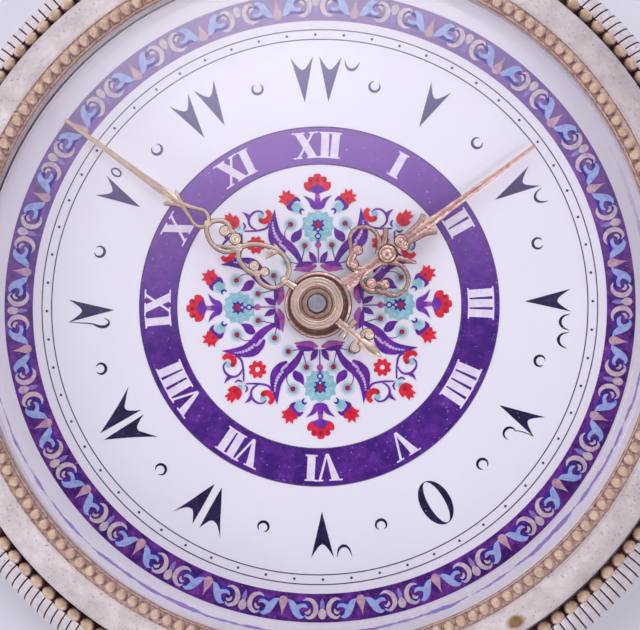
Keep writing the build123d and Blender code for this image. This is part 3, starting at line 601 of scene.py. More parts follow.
# Outline of the coin edge in radius and height. What lies inside the radius below it isn't cut.
COIN_EDGE = (
    (25.02, 7.7), (25.4, 7.38), (25.78, 6.78), (26.05, 6), (26.22, 5.2), (26.3, 4.4), (26.3, 3.4),
    (26.2, 2.6), (25.96, 1.6), (25.66, 0.8), (25.4, 0.12), (24.9, 0.05), (24.9, 7.6),
)
REED_INSIDE = 24.95
REED_ROUND = 0.02
REED_WELD = 0.002
# Outline of the band behind the reeds, and the part of it that lies in the bead channel
BAND_CORE = (
    (24.96, 7.75), (24.3, 7.75), (24.3, 7.5), (22.85, 7.5), (22.85, 8), (21.7, 8), (21.7, 2.7), (20.9, 2.7),
    (20.9, 1.5), (22.3, 1.5), (22.3, 0), (24.96, 0),
)
CHANNEL_INSIDE, CHANNEL_FOOT = 24.2, 7.45
CORE_STEPS = 288
# The hinge's notch past its knuckles, beside them, inwards and upwards, and the stem's bore
NOTCH_DEPTH, NOTCH_GAP, NOTCH_INSIDE, NOTCH_TOP = 1.5, 0.03, -24.3, 9
BORE_GAP, BORE_LENGTH, BORE_MIDDLE = 0.01, 6, 24.2


def reeded_shell(reeds, depth):
    """The coin edge: one flat between two cut lines, repeated round the band."""
    pitch = math.tau / reeds
    # Across one pitch: share of the way, and how deep it is cut there
    cuts = ((0.0, depth), (0.09, REED_ROUND), (0.22, 0.0), (0.78, 0.0), (0.91, REED_ROUND), (1.0, depth))
    bm = bmesh.new()
    chains = []
    for share, inset in cuts:
        verts = [bm.verts.new((r - (inset if r > REED_INSIDE else 0), 0, z)) for r, z in COIN_EDGE]
        chains.append([bm.edges.new((a, b)) for a, b in zip(verts, verts[1:] + verts[:1])])
        turn_by(bm, verts, share * pitch)
    for index, (first, second) in enumerate(zip(chains, chains[1:])):
        for face in bmesh.ops.bridge_loops(bm, edges=first + second)["faces"]:
            face.material_index = 1 if index in (0, len(chains) - 2) else 0
    bmesh.ops.spin(
        bm, geom=bm.verts[:] + bm.edges[:] + bm.faces[:], axis=(0, 0, 1), cent=(0, 0, 0),
        angle=pitch * (reeds - 1), steps=reeds - 1, use_duplicate=True,
    )
    bmesh.ops.remove_doubles(bm, verts=bm.verts, dist=REED_WELD)
    bmesh.ops.recalc_face_normals(bm, faces=bm.faces)
    return bm


def carved(bm, *cutters):
    """Cuts closed meshes out of another one, all in millimetres."""
    helpers = []
    for mesh_source in (bm,) + cutters:
        mesh = bpy.data.meshes.new("carving")
        mesh_source.to_mesh(mesh)
        mesh_source.free()
        helpers.append(bpy.data.objects.new("carving", mesh))
        bpy.context.scene.collection.objects.link(helpers[-1])
    for cutter in helpers[1:]:
        cut = helpers[0].modifiers.new("cut", "BOOLEAN")
        cut.operation = "DIFFERENCE"
        cut.solver = "EXACT"
        cut.object = cutter
    bpy.context.view_layer.update()
    shown = helpers[0].evaluated_get(bpy.context.evaluated_depsgraph_get())
    result = bmesh.new()
    result.from_mesh(bpy.data.meshes.new_from_object(shown))
    for helper in helpers:
        bpy.data.objects.remove(helper)
    return result


def box_mesh(low, high):
    """A closed box between two corners, in millimetres."""
    bm = bmesh.new()
    bmesh.ops.create_cube(bm, size=1)
    size = [b - a for a, b in zip(low, high)]
    middle = [(a + b) / 2 for a, b in zip(low, high)]
    bmesh.ops.scale(bm, vec=size, verts=bm.verts)
    bmesh.ops.translate(bm, vec=middle, verts=bm.verts)
    return bm


def join(bm, other):
    """Adds one bmesh to another."""
    mesh = bpy.data.meshes.new("joined")
    other.to_mesh(mesh)
    other.free()
    bm.from_mesh(mesh)
    bpy.data.meshes.remove(mesh)


def repeated(bm, part, turns, sides=(1,)):
    """Adds a part at each turn, in radians, and on each side of the first axis. The part is used up."""
    pattern = bpy.data.meshes.new("pattern")
    part.to_mesh(pattern)
    part.free()
    for turn in turns:
        for side in sides:
            start = len(bm.verts)
            bm.from_mesh(pattern)
            bm.verts.ensure_lookup_table()
            fresh = bm.verts[start:]
            if side < 0:
                bmesh.ops.scale(bm, vec=(1, side, 1), verts=fresh)
            turn_by(bm, fresh, turn)
    bpy.data.meshes.remove(pattern)


class WATCHDIAL_OT_case_band(bpy.types.Operator):
    """Makes the coin-edged band with its bead channel"""

    bl_idname = "watchdial.case_band"
    bl_label = "Case band"

    def execute(self, context):
        case = context.scene.watch_case
        shell = reeded_shell(case.reed_count, case.reed_depth / MM)
        core = turned(BAND_CORE, CORE_STEPS, case.corner_round / MM / 2, 1)
        for face in core.faces:
            middle = face.calc_center_median()
            if middle.z > CHANNEL_FOOT and middle.to_2d().length > CHANNEL_INSIDE:
                face.material_index = 1
        bm = bmesh.new()
        for body in (shell, core):
            join(bm, carved(body, self.hinge_notch(), self.stem_bore()))
        silver = [finish("silver_polished"), finish("silver_tarnished")]
        finished(bm, "coin_edge_band", silver, "case", ["case_band"])
        return {"FINISHED"}

    def hinge_notch(self):
        """The place of the hinge's foot in the band's edge."""
        low, high = (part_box("bezel_hinge_knuckles")[i] / MM for i in (0, 1))
        return box_mesh(
            (low.x - NOTCH_DEPTH, low.y - NOTCH_GAP, low.z), (NOTCH_INSIDE, high.y + NOTCH_GAP, NOTCH_TOP)
        )

    def stem_bore(self):
        """The hole for the stem tube in the band's wall."""
        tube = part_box("stem_tube")
        height = (tube[0].z + tube[1].z) / 2 / MM
        radius = (tube[1].x - tube[0].x) / 2 / MM + BORE_GAP
        bore = bmesh.new()
        bmesh.ops.create_cone(
            bore, cap_ends=True, segments=48, radius1=radius, radius2=radius, depth=BORE_LENGTH
        )
        turn_by(bore, bore.verts, math.pi / 2, "X")
        bmesh.ops.translate(bore, vec=(0, BORE_MIDDLE, height), verts=bore.verts)
        return bore


# Outlines of a bead in radius and height, and the reach of the painted gold highlight on its crown
OVAL_BEAD = ((0, 0.575), (0.14, 0.56), (0.25, 0.51), (0.33, 0.41), (0.38, 0.26), (0.4, 0.1), (0.4, -0.03))
ROUND_BEAD = (
    (0, 0.595), (0.13, 0.58), (0.23, 0.53), (0.31, 0.43), (0.36, 0.29), (0.385, 0.12), (0.39, -0.06),
)
HIGHLIGHT_REACH = 0.22
BEAD_STEPS, BEAD_WELD, BEAD_SHARP = 10, 0.001, 60
# Half of the band's gap at the hinge: half the hinge's length, its clearance and a bead's radius
BEAD_GAP = math.degrees(math.asin((4.0 + NOTCH_GAP + 0.4) / 24.65))
# Each row's circle, height, bead, stretch along the row and gap
BAND_BEADS = 24.68, 7.75, OVAL_BEAD, 1.22, BEAD_GAP
BEZEL_BEADS = 21.86, 10.06, ROUND_BEAD, 1, 0


def bead_ring(count, circle, base, outline, stretch, gap):
    """A row of beads round a circle, each from one outline, but for a gap in degrees at nine o'clock."""
    bm = bmesh.new()
    verts = [bm.verts.new((r, 0, z)) for r, z in outline]
    spun(bm, verts + [bm.edges.new(pair) for pair in zip(verts, verts[1:])], BEAD_STEPS)
    bmesh.ops.remove_doubles(bm, verts=bm.verts, dist=BEAD_WELD)
    bmesh.ops.holes_fill(bm, edges=[e for e in bm.edges if e.is_boundary], sides=0)
    bmesh.ops.recalc_face_normals(bm, faces=bm.faces)
    for face in bm.faces:
        # The top of each bead, near its middle, gets a painted gold highlight
        crown = face.calc_center_median().to_2d().length < HIGHLIGHT_REACH and face.normal.z > 0
        face.material_index = 1 if crown else 0
    bmesh.ops.scale(bm, vec=(1, stretch, 1), verts=bm.verts)
    bmesh.ops.translate(bm, vec=(circle, 0, base), verts=bm.verts)
    row = bmesh.new()
    angles = [math.tau * index / count for index in range(count)]
    repeated(row, bm, [a for a in angles if not gap or abs(math.degrees(a) - 180) > gap])
    return row


class WATCHDIAL_OT_bead_rows(bpy.types.Operator):
    """Makes the band's oval beads and the bezel's round ones"""

    bl_idname = "watchdial.bead_rows"
    bl_label = "Bead rows"

    def execute(self, context):
        case = context.scene.watch_case
        beads = [finish("bead_silver"), finish("bead_crown")]
        row = bead_ring(case.band_bead_count, *BAND_BEADS)
        finished(row, "band_oval_beads", beads, "case", ["band_bead_row"], BEAD_SHARP)
        row = bead_ring(case.bezel_bead_count, *BEZEL_BEADS)
        finished(row, "bezel_round_beads", beads, "bezel", ["bezel_bead_row"], BEAD_SHARP)
        return {"FINISHED"}


# The bezel's edge, and the width, rise and bend of the slope that starts there
EDGE_RADIUS, EDGE_HEIGHT = 24.2, 9.0
SLOPE_WIDTH, SLOPE_RISE, SLOPE_BEND, SLOPE_STEPS = 1.7, 1.34, 0.31, 10
# Outline of the bezel outside and inside its slope, in radius and height
BEZEL_FOOT = (23.1, 7.55), (EDGE_RADIUS, 7.55)
BEZEL_RIM = (
    (22.44, 10.11), (22.34, 10.11), (22.3, 9.98), (21.5, 9.98), (21.46, 10.12), (21.38, 10.12), (21.3, 10),
    (21.3, 9.82), (21.77, 9.82), (21.77, 9.3), (21.3, 9.3), (21.3, 8.15), (23.1, 8.15),
)
# The channel's least height and largest radius, and the largest radius of its brown lip
RIM_FOOT, RIM_OUTSIDE, LIP_OUTSIDE = 9.83, 22.36, 21.4
# Rounding of the bezel's corners, and wear on its small edges
BEZEL_ROUND, EDGE_WEAR = 0.03, 0.05
# Corners of the thumb lip and of the web that holds the hinge knuckle
THUMB_LIP = (23.65, -2.5, 8.55), (24.9, 2.5, 8.85)
HINGE_WEB = (-25.3, -1.3, 8.1), (-23.65, 1.3, 8.5)
# The lip's outer corners lie past this radius, on edges shorter than this, and are rounded by this
LIP_REACH, LIP_HEIGHT, LIP_ROUND = 24.5, 0.5, 0.6
KNUCKLE = ((0.29, -1.3), (0.5, -1.3), (0.5, 1.3), (0.29, 1.3))
HINGE_AXIS = (-25.3, 0, 8.3)
# Outline of the glass, and the heights and radius between which its bevel lies
GLASS = ((0, 9.3), (21.75, 9.3), (21.75, 9.8), (20.9, 9.8), (20.2, 10.4), (0, 10.4))
BEVEL_FOOT, BEVEL_TOP, BEVEL_OUTSIDE = 9.82, 10.38, 20.95
GLASS_STEPS, GLASS_ROUND, GLASS_SHARP = 256, 0.02, 15


class WATCHDIAL_OT_bezel(bpy.types.Operator):
    """Makes the sloping bezel with its bead channel, thumb lip and hinge knuckle"""

    bl_idname = "watchdial.bezel"
    bl_label = "Bezel"

    def execute(self, context):
        slope = [
            (EDGE_RADIUS - SLOPE_WIDTH * t, EDGE_HEIGHT + SLOPE_RISE * t - SLOPE_BEND * t * t)
            for t in (i / SLOPE_STEPS for i in range(SLOPE_STEPS + 1))
        ]
        bm = turned([*BEZEL_FOOT, *slope, *BEZEL_RIM], RING_STEPS, BEZEL_ROUND)
        for face in bm.faces:
            middle = face.calc_center_median()
            radius = middle.to_2d().length
            if middle.z > RIM_FOOT and radius < RIM_OUTSIDE:
                face.material_index = 2 if radius < LIP_OUTSIDE else 1
        lip = box_mesh(*THUMB_LIP)
        corners = [
            e for e in lip.edges if all(v.co.x > LIP_REACH for v in e.verts) and e.calc_length() < LIP_HEIGHT
        ]
        rounded(lip, corners, LIP_ROUND, "EDGES", 6)
        rounded(lip, lip.edges[:], EDGE_WEAR, "EDGES")
        join(bm, lip)
        join(bm, box_mesh(*HINGE_WEB))
        knuckle = turned(KNUCKLE, 40, EDGE_WEAR)
        turn_by(knuckle, knuckle.verts, math.pi / 2, "X")
        bmesh.ops.translate(knuckle, vec=HINGE_AXIS, verts=knuckle.verts)
        join(bm, knuckle)
        finished(
            bm, "silver_bezel", [finish("silver_bezel_slope"), finish("bead_channel"), finish("lip_brown")],
            "bezel", ["bezel"],
        )
        return {"FINISHED"}


class WATCHDIAL_OT_crystal(bpy.types.Operator):
    """Makes the flat bevelled glass"""

    bl_idname = "watchdial.crystal"
    bl_label = "Crystal"

    def execute(self, context):
        bm = turned(GLASS, GLASS_STEPS, GLASS_ROUND, 1)
        for face in bm.faces:
            middle = face.calc_center_median()
            if BEVEL_FOOT < middle.z < BEVEL_TOP and middle.to_2d().length < BEVEL_OUTSIDE:
                face.material_index = 1
        finished(
            bm, "bevelled_crystal", [finish("mineral_glass"), finish("bevel_glass")],
            "bezel", ["crystal"], GLASS_SHARP,
        )
        return {"FINISHED"}


# The dial's printed enamel. Each colour is one thin transfer; levels keep later colours on top.

LEVEL = 0.012


def level(step):
    """The height of a transfer colour on the white enamel, in millimetres."""
    return ENAMEL_TOP + LEVEL * step


def around(bm, sector, count, sides=(1,)):
    """Repeats one sector's print round the dial, with its mirror image where it has one."""
    repeated(bm, sector, [math.tau * index / count for index in range(count)], sides)


def mirrored(half, across):
    """A symmetric outline: half of it, then its inner points again on the other side, back to the start."""
    x, y = (-1, 1) if across == "x" else (1, -1)
    return *half, *((a * x, b * y) for a, b in half[-2:0:-1])


def oval(centre, across, along, count):
    """Points round an oval."""
    turns = [math.tau * index / count for index in range(count)]
    return [(centre[0] + across * math.cos(t), centre[1] + along * math.sin(t)) for t in turns]


def printed(bm, name, finish_name):
    """A finished print of one colour."""
    face_up(bm)
    return finished(bm, name, [finish(finish_name)], "case")


# The flowers, in millimetres on a sector whose first axis runs out at three o'clock.
# Strokes are colour, level, points and widths. Shapes are colour, level, outline and its sharp corners.
# Dots are colour, level, place and radius. A mirrored outline is given by half.
AXIS_STROKES = (
    ("stem_violet", 2, ((2.75, 0), (3.3, 0), (3.75, 0)), (0.06, 0.07, 0.08)),
    ("stem_violet", 2, ((3.9, 0), (4.15, 0), (4.35, 0)), (0.1, 0.14, 0.1)),
    ("stem_violet", 4, ((6.1, 0), (6.5, 0), (7.45, 0)), (0.26, 0.4, 0.12)),
)
AXIS_SHAPES = (
    ("teal", 1, mirrored(((6.05, 0), (5.9, 0.35), (5.95, 0.55), (5.65, 0.72), (5.6, 0.95), (5.25, 0.92),
      (4.95, 1.02), (4.72, 0.85), (4.45, 0.85), (4.35, 0.6), (4.1, 0.5), (4.12, 0.2), (4, 0)), "y"), ()),
    ("flower_red", 2, mirrored(((8.38, 0), (8.33, 0.2), (8.19, 0.25), (8.19, 0.47), (8.04, 0.61),
      (7.88, 0.58), (7.84, 0.8), (7.6, 0.86), (7.36, 0.74), (7.22, 0.42), (7.16, 0)), "y"), ()),
    ("stem_violet", 3, mirrored(((7.78, 0), (7.62, 0.16), (7.6, 0.34), (7.46, 0.42), (7.4, 0.62),
      (7.26, 0.4), (7.12, 0.14), (7.08, 0)), "y"), (0, 2, 4, 10, 12)),
    ("indigo", 2, mirrored(((5.5, 0), (5.38, 0.16), (5.46, 0.32), (5.24, 0.3), (5.1, 0.42), (4.98, 0.26),
      (4.76, 0.34), (4.78, 0.14), (4.58, 0)), "y"), ()),
)
AXIS_DOTS = (
    ("crimson", 3, (5.15, 0), 0.21), ("pale_halo", 4, (4.85, 0), 0.07), ("indigo", 3, (4.42, 0), 0.2),
    ("pale_halo", 4, (4.42, 0), 0.11), ("magenta", 4, (3.88, 0), 0.2), ("magenta", 5, (6.95, 0), 0.15),
    ("crimson", 3, (8, 0), 0.14), ("crimson", 3, (7.92, 0.45), 0.12), ("crimson", 3, (7.92, -0.45), 0.12),
    *(("pale_halo", 2, (x, side * y), 0.06) for x, y in ((5.6, 0.45), (5.2, 0.7), (4.75, 0.6), (4.4, 0.35))
      for side in (1, -1)),
)
PAIR_STROKES = (
    # Side leaf of the palmette stem, and the leaves that spring from the hub
    ("stem_violet", 3, ((6.14, 0.12), (6.34, 0.26), (6.64, 0.42), (7, 0.9)), (0.16, 0.36, 0.3, 0.02)),
    ("leaf_violet", 4, ((2.74, 0.12), (2.98, 0.3), (3.2, 0.42), (3.46, 0.58)), (0.1, 0.4, 0.34, 0.03)),
    ("magenta", 2, ((2.56, 0.12), (2.44, 0.6), (2.42, 1.08), (2.3, 1.6)), (0.14, 0.52, 0.46, 0.03)),
    ("leaf_violet", 3, ((2.76, 0.24), (2.7, 0.7), (2.64, 1.12), (2.48, 1.5)), (0.06, 0.3, 0.34, 0.03)),
    # Stems to the round buds
    ("stem_violet", 2, ((2.7, 1.1), (3.05, 1.02), (3.45, 0.92), (3.7, 0.88)), (0.1, 0.06, 0.06, 0.05)),
    ("stem_violet", 2, ((2.7, 1.15), (2.72, 1.4), (2.8, 1.75)), (0.1, 0.07, 0.05)),
    ("stem_violet", 2, ((4.15, 1.95), (4.4, 2.08), (4.8, 2.06), (5.1, 1.85)), (0.06, 0.06, 0.05, 0.04)),
    # Stem of the long leaf, and the tendril that leaves its tip
    ("leaf_violet", 2, ((2.62, 1.05), (3.05, 1.24), (3.5, 1.52), (3.86, 1.86)), (0.24, 0.32, 0.46, 0.5)),
    ("stem_violet", 2, ((5.3, 3), (5, 3.25), (4.86, 3.7), (4.82, 4.2), (4.82, 4.66)), (0.2, 0.15, 0.13,
      0.12, 0.1)),
    ("stem_violet", 3, ((4.9, 3.92), (5.12, 4.25), (5.5, 4.37), (5.86, 4.2), (6.06, 3.88), (6.04, 3.58),
      (5.86, 3.4)), (0.08, 0.13, 0.15, 0.15, 0.12, 0.1, 0.06)),
    ("stem_violet", 4, ((5.5, 4.34), (5.78, 4.44), (6.04, 4.78)), (0.16, 0.24, 0.02)),
    # Red comma in the tendril
    ("flower_red", 4, ((6.1, 3.24), (5.9, 3.06), (5.62, 3.1), (5.42, 3.36), (5.52, 3.68)), (0.24, 0.32,
      0.36, 0.38, 0.3)),
    ("crimson", 5, ((5.36, 3.5), (5.5, 3.66), (5.62, 3.62)), (0.12, 0.2, 0.1)),
    # Flower on the side: curl, cup and calyx
    ("indigo", 3, ((5.8, 1), (5.98, 1.12), (6.14, 1), (6.06, 0.84)), (0.06, 0.13, 0.13, 0.05)),
    ("leaf_violet", 3, ((6.04, 1.55), (6.28, 1.8), (6.58, 1.7), (6.8, 1.38), (6.66, 1.08)), (0.06, 0.32,
      0.36, 0.3, 0.06)),
    # Calyx of the corner flower
    ("stem_violet", 3, ((4.9, 4.72), (5.12, 4.6), (5.36, 4.72)), (0.06, 0.14, 0.08)),
)
PAIR_SHAPES = (
    # The long leaf: a blade on each side of a pale vein
    ("leaf_violet", 3, ((3.62, 1.42), (3.98, 1.62), (4.32, 2.02), (4.8, 2.38), (5.36, 2.56), (6.2, 2.72),
      (5.6, 2.92), (5.1, 3.08), (4.55, 3.15), (4.05, 3.05), (3.68, 2.74), (3.47, 2.36), (3.48, 2.04),
      (3.66, 2.2), (3.9, 2.44), (4.12, 2.5), (3.94, 2.26), (3.72, 1.98), (3.44, 1.72)), (5, 15)),
    ("vein_lilac", 2, ((3.58, 1.98), (3.78, 1.98), (3.98, 2.2), (4.16, 2.5), (3.9, 2.46), (3.68, 2.26)),
      ()),
    ("leaf_violet", 3, ((4.05, 1.6), (4.34, 1.72), (4.66, 1.54), (4.8, 1.26), (4.98, 1.04), (4.58, 1.02),
      (4.26, 1.14), (4.12, 1.36)), (4,)),
    ("flower_red", 4, ((6.38, 2), (6.52, 2.16), (6.62, 2.48), (6.8, 2.3), (7, 2.48), (7.06, 2.2),
      (7.4, 2.2), (7.2, 1.96), (7.42, 1.76), (7.14, 1.72), (7.08, 1.46), (6.88, 1.46), (6.66, 1.68)), (2, 3,
      4, 5, 6, 7, 8, 9, 10)),
)
PAIR_DOTS = (
    *((colour, step, place, radius) for place, halo, heart in (((3.85, 0.85), 0.44, 0.3), ((2.83, 1.97),
      0.44, 0.3), ((5.2, 1.72), 0.46, 0.32)) for colour, step, radius in (("pale_halo", 1, halo),
      ("halo_blue", 2, heart), ("crimson", 4, 0.17))),
    ("pale_halo", 1, (6.28, 1.36), 0.44), ("teal", 2, (6.24, 1.34), 0.3), ("teal", 2, (5.78, 3.6), 0.2),
    *(("vein_lilac", 5, place, radius) for place, radius in (((4.26, 2.52), 0.11), ((4.44, 2.64), 0.11),
      ((4.63, 2.73), 0.1), ((4.82, 2.79), 0.09), ((5, 2.83), 0.08), ((5.17, 2.85), 0.065), ((5.32, 2.86),
      0.05), ((4.12, 2.36), 0.08))),
    ("crimson", 5, (6.72, 1.86), 0.12),
)
DIAGONAL_SHAPES = (
    ("flower_red", 4, ((4.95, 5.3), (5, 5.62), (5.2, 5.86), (5.32, 5.7), (5.6, 6.05), (5.66, 5.84),
      (5.9, 5.9), (5.84, 5.66), (6.05, 5.6), (5.7, 5.32), (5.86, 5.2), (5.62, 5), (5.3, 4.95)), (2, 3, 4, 5,
      6, 7, 8, 9, 10)),
    ("leaf_violet", 3, ((4.98, 5.3), (5.1, 5.44), (5.3, 5.3), (5.44, 5.1), (5.3, 4.98), (5.14, 5.14)), ()),
)
DIAGONAL_DOTS = (
    ("pale_halo", 1, (4.96, 4.96), 0.3), ("teal", 2, (5.04, 5.04), 0.16), ("crimson", 5, (5.3, 5.3), 0.14),
)


# The red rosette between the sectors lies this far along both axes, turned by 45 degrees
ROSETTE, HALF_ROOT = 3.93, 0.707


def add_prints(prints, strokes, shapes, dots):
    """Draws strokes, shapes and dots, each on the bmesh of its colour."""
    for colour, step, points, widths in strokes:
        add_stroke(prints.setdefault(colour, bmesh.new()), points, widths, level(step))
    for colour, step, outline, corners in shapes:
        add_shape(prints.setdefault(colour, bmesh.new()), outline, height=level(step), corners=corners)
    for colour, step, place, radius in dots:
        add_dot(prints.setdefault(colour, bmesh.new()), place, radius, level(step))


class WATCHDIAL_OT_flowers(bpy.types.Operator):
    """Prints the ring of flowers in the dial's centre"""

    bl_idname = "watchdial.flowers"
    bl_label = "Flowers"

    def execute(self, context):
        paired, single = {}, {}
        add_prints(paired, PAIR_STROKES, PAIR_SHAPES, PAIR_DOTS)
        add_prints(single, AXIS_STROKES, AXIS_SHAPES, AXIS_DOTS)
        add_prints(single, (), DIAGONAL_SHAPES, DIAGONAL_DOTS)
        petals = [(0.56 if index % 3 else 0.44, math.tau * index / 24) for index in range(24)]
        rosette = [
            (ROSETTE + r * (math.cos(a) - math.sin(a)) * HALF_ROOT,
             ROSETTE + r * (math.cos(a) + math.sin(a)) * HALF_ROOT)
            for r, a in petals
        ]
        add_shape(single["flower_red"], rosette, oval((ROSETTE, ROSETTE), 0.16, 0.16, 8), height=level(3))
        for colour in sorted(set(paired) | set(single)):
            bm = bmesh.new()
            if colour in paired:
                around(bm, paired[colour], 4, (1, -1))
            if colour in single:
                around(bm, single[colour], 4)
            printed(bm, "flowers_" + colour, colour)
        return {"FINISHED"}


# Numerals and rings


def upright(bm, verts, angle, radius=0.0):
    """Moves a sign drawn upright at the centre to its place at a clock angle, its foot to the centre."""
    bmesh.ops.translate(bm, vec=(0, radius, 0), verts=verts)
    turn_by(bm, verts, -math.radians(angle))


# Roman letters: height, radius of the foot, and hour in degrees, letter and its shift in degrees
TOP = 1.65
LETTER_FOOT = 9.38
ROMAN = (
    (0, "X", -3.9), (0, "I", 2.9), (0, "I", 6.5), (30, "I", 0.15), (60, "I", -1.6), (60, "I", 2),
    (90, "I", -3.6), (90, "I", 0), (90, "I", 3.6), (120, "I", -5.85), (120, "I", -2.2), (120, "I", 1.4),
    (120, "I", 5), (150, "V", -0.1), (180, "V", -2.4), (180, "I", 3.6), (210, "V", -3.4), (210, "I", 1.8),
    (210, "I", 5.4), (240, "V", -4.5), (240, "I", 0.6), (240, "I", 4.3), (240, "I", 7.9), (270, "I", -4.4),
    (270, "X", 2.2), (300, "X", -0.2), (330, "X", -2.2), (330, "I", 4.4),
)
# Strokes and serifs of each letter: left and right ends of the foot, of the top, and the heights of both
LETTERS = {
    "I": ((-0.25, 0.25, -0.25, 0.25, 0.0, TOP), (-0.38, 0.38, -0.36, 0.36, 0.0, 0.1),
          (-0.36, 0.36, -0.38, 0.38, TOP - 0.1, TOP)),
    "V": ((-0.08, 0.1, -0.72, -0.2, -0.06, TOP), (-0.03, 0.1, 0.5, 0.66, -0.06, TOP),
          (-0.88, -0.04, -0.88, -0.04, TOP - 0.09, TOP), (0.34, 0.86, 0.34, 0.86, TOP - 0.09, TOP)),
    "X": ((0.16, 0.68, -0.68, -0.16, 0.0, TOP), (-0.62, -0.44, 0.44, 0.62, 0.0, TOP),
          (0.02, 0.84, 0.02, 0.84, 0.0, 0.09), (-0.84, -0.26, -0.84, -0.26, 0.0, 0.09),
          (-0.84, -0.02, -0.84, -0.02, TOP - 0.09, TOP), (0.26, 0.84, 0.26, 0.84, TOP - 0.09, TOP)),
}
# Letters and their strokes overlap, so each lies a little over the last
LETTER_LIFT, STROKE_LIFT = 0.003, 0.0005


def add_letter(bm, letter, lift):
    """One Roman letter from its strokes and serifs, its foot at the origin."""
    start = len(bm.verts)
    for index, (foot_left, foot_right, top_left, top_right, low, high) in enumerate(LETTERS[letter]):
        z = level(2) + lift + index * STROKE_LIFT
        corners = ((foot_left, low), (foot_right, low), (top_right, high), (top_left, high))
        bm.faces.new([bm.verts.new((x, y, z)) for x, y in corners])
    bm.verts.ensure_lookup_table()
    return bm.verts[start:]


# Wedge numerals, drawn upright at twelve o'clock, and the clock angles of each
WEDGE = mirrored(((0, 12.93), (0.36, 14.4), (0.72, 15.84), (0.4, 15.36), (0.16, 15.08), (0, 15.0)), "x")
WEDGE_CORNERS = (0, 2, 8)
WEDGES = (-3.2, 3.4, 30.0, 59.8, 89.7, 119.8, 180.0, 269.95, 300.0, 326.65, 333.3)
# Halves that lean on each other: outline, sharp corners and the angles of the pair
LEANING = (
    (((-0.04, 12.95), (0, 14.5), (0, 15.85), (-0.22, 15.4), (-0.46, 15.08), (-0.79, 15.1), (-1.14, 15.4),
      (-1.48, 15.84), (-0.94, 14.8), (-0.42, 13.7)), (0, 2, 7), (209.2, 211)),
    (((0, 15.95), (0.02, 14.4), (0.03, 12.95), (-0.2, 13.45), (-0.55, 13.8), (-0.95, 13.55), (-1.63, 12.95),
      (-0.9, 14.2)), (0, 2, 6), (239.1, 240.8)),
)
# Curls beside the wedges: middle and half width in degrees, low and high radius, then their widths
# and how far they rise beside the middle
CURLS = (
    (8.5, 1.75, 15.09, 15.68), (64.6, 1.7, 15.2, 15.86), (94.7, 1.9, 15.2, 15.8), (98.9, 1.9, 15.2, 15.8),
    (175, 1.7, 15.17, 15.84),
)
CURL_WIDTHS, CURL_RISE = (0.03, 0.13, 0.2, 0.15, 0.03), 0.14
# The ring numeral at five and the small ring at ten: middle, both half widths and points of each outline
RING = ((0, 14.4), 0.96, 1.485, 16), ((-0.05, 14.4), 0.5, 1.43, 16)
LOOP = ((0, 15.41), 0.27, 0.37, 10), ((0, 15.41), 0.16, 0.27, 10)
RING_ANGLE, LOOP_ANGLE = 150.2, 304.4
# Thin strokes at four and nine, by radius and angle, and the small arch at four
HAIR = ((15.8, 122.3), (15.2, 122.6), (14.6, 123.4)), (0.03, 0.06, 0.05)
HOOK = (
    ((15.8, 267.3), (15.1, 267.0), (14.4, 266.6), (13.8, 265.6), (13.4, 265.9), (13.3, 266.7), (13.6, 267.9)),
    (0.03, 0.06, 0.08, 0.2, 0.18, 0.1, 0.04),
)
ARCH_MIDDLE, ARCH_RADIUS, ARCH_TURNS = (14.47, 124.8), 0.4, (250, 190, 130, 70, 20)
ARCH_WIDTHS = (0.03, 0.12, 0.18, 0.12, 0.03)
# The half-hour mark: middle, radius, start and sweep of its arc, and points
MARK = (0, 14.33), 0.33, 110, 300, 8
MARK_WIDTHS = (0.03, 0.1, 0.15, 0.18, 0.18, 0.15, 0.1, 0.03)
# The minute track's dots and lines, and the lines that edge the Roman band
MINUTE_DOT, MINUTE_LINE, ROMAN_LINE = 0.09, 0.035, 0.06


def arc(centre, radius, start, sweep, count):
    """Points along an arc."""
    turns = [math.radians(start + sweep * i / (count - 1)) for i in range(count)]
    return [(centre[0] + radius * math.cos(t), centre[1] + radius * math.sin(t)) for t in turns]


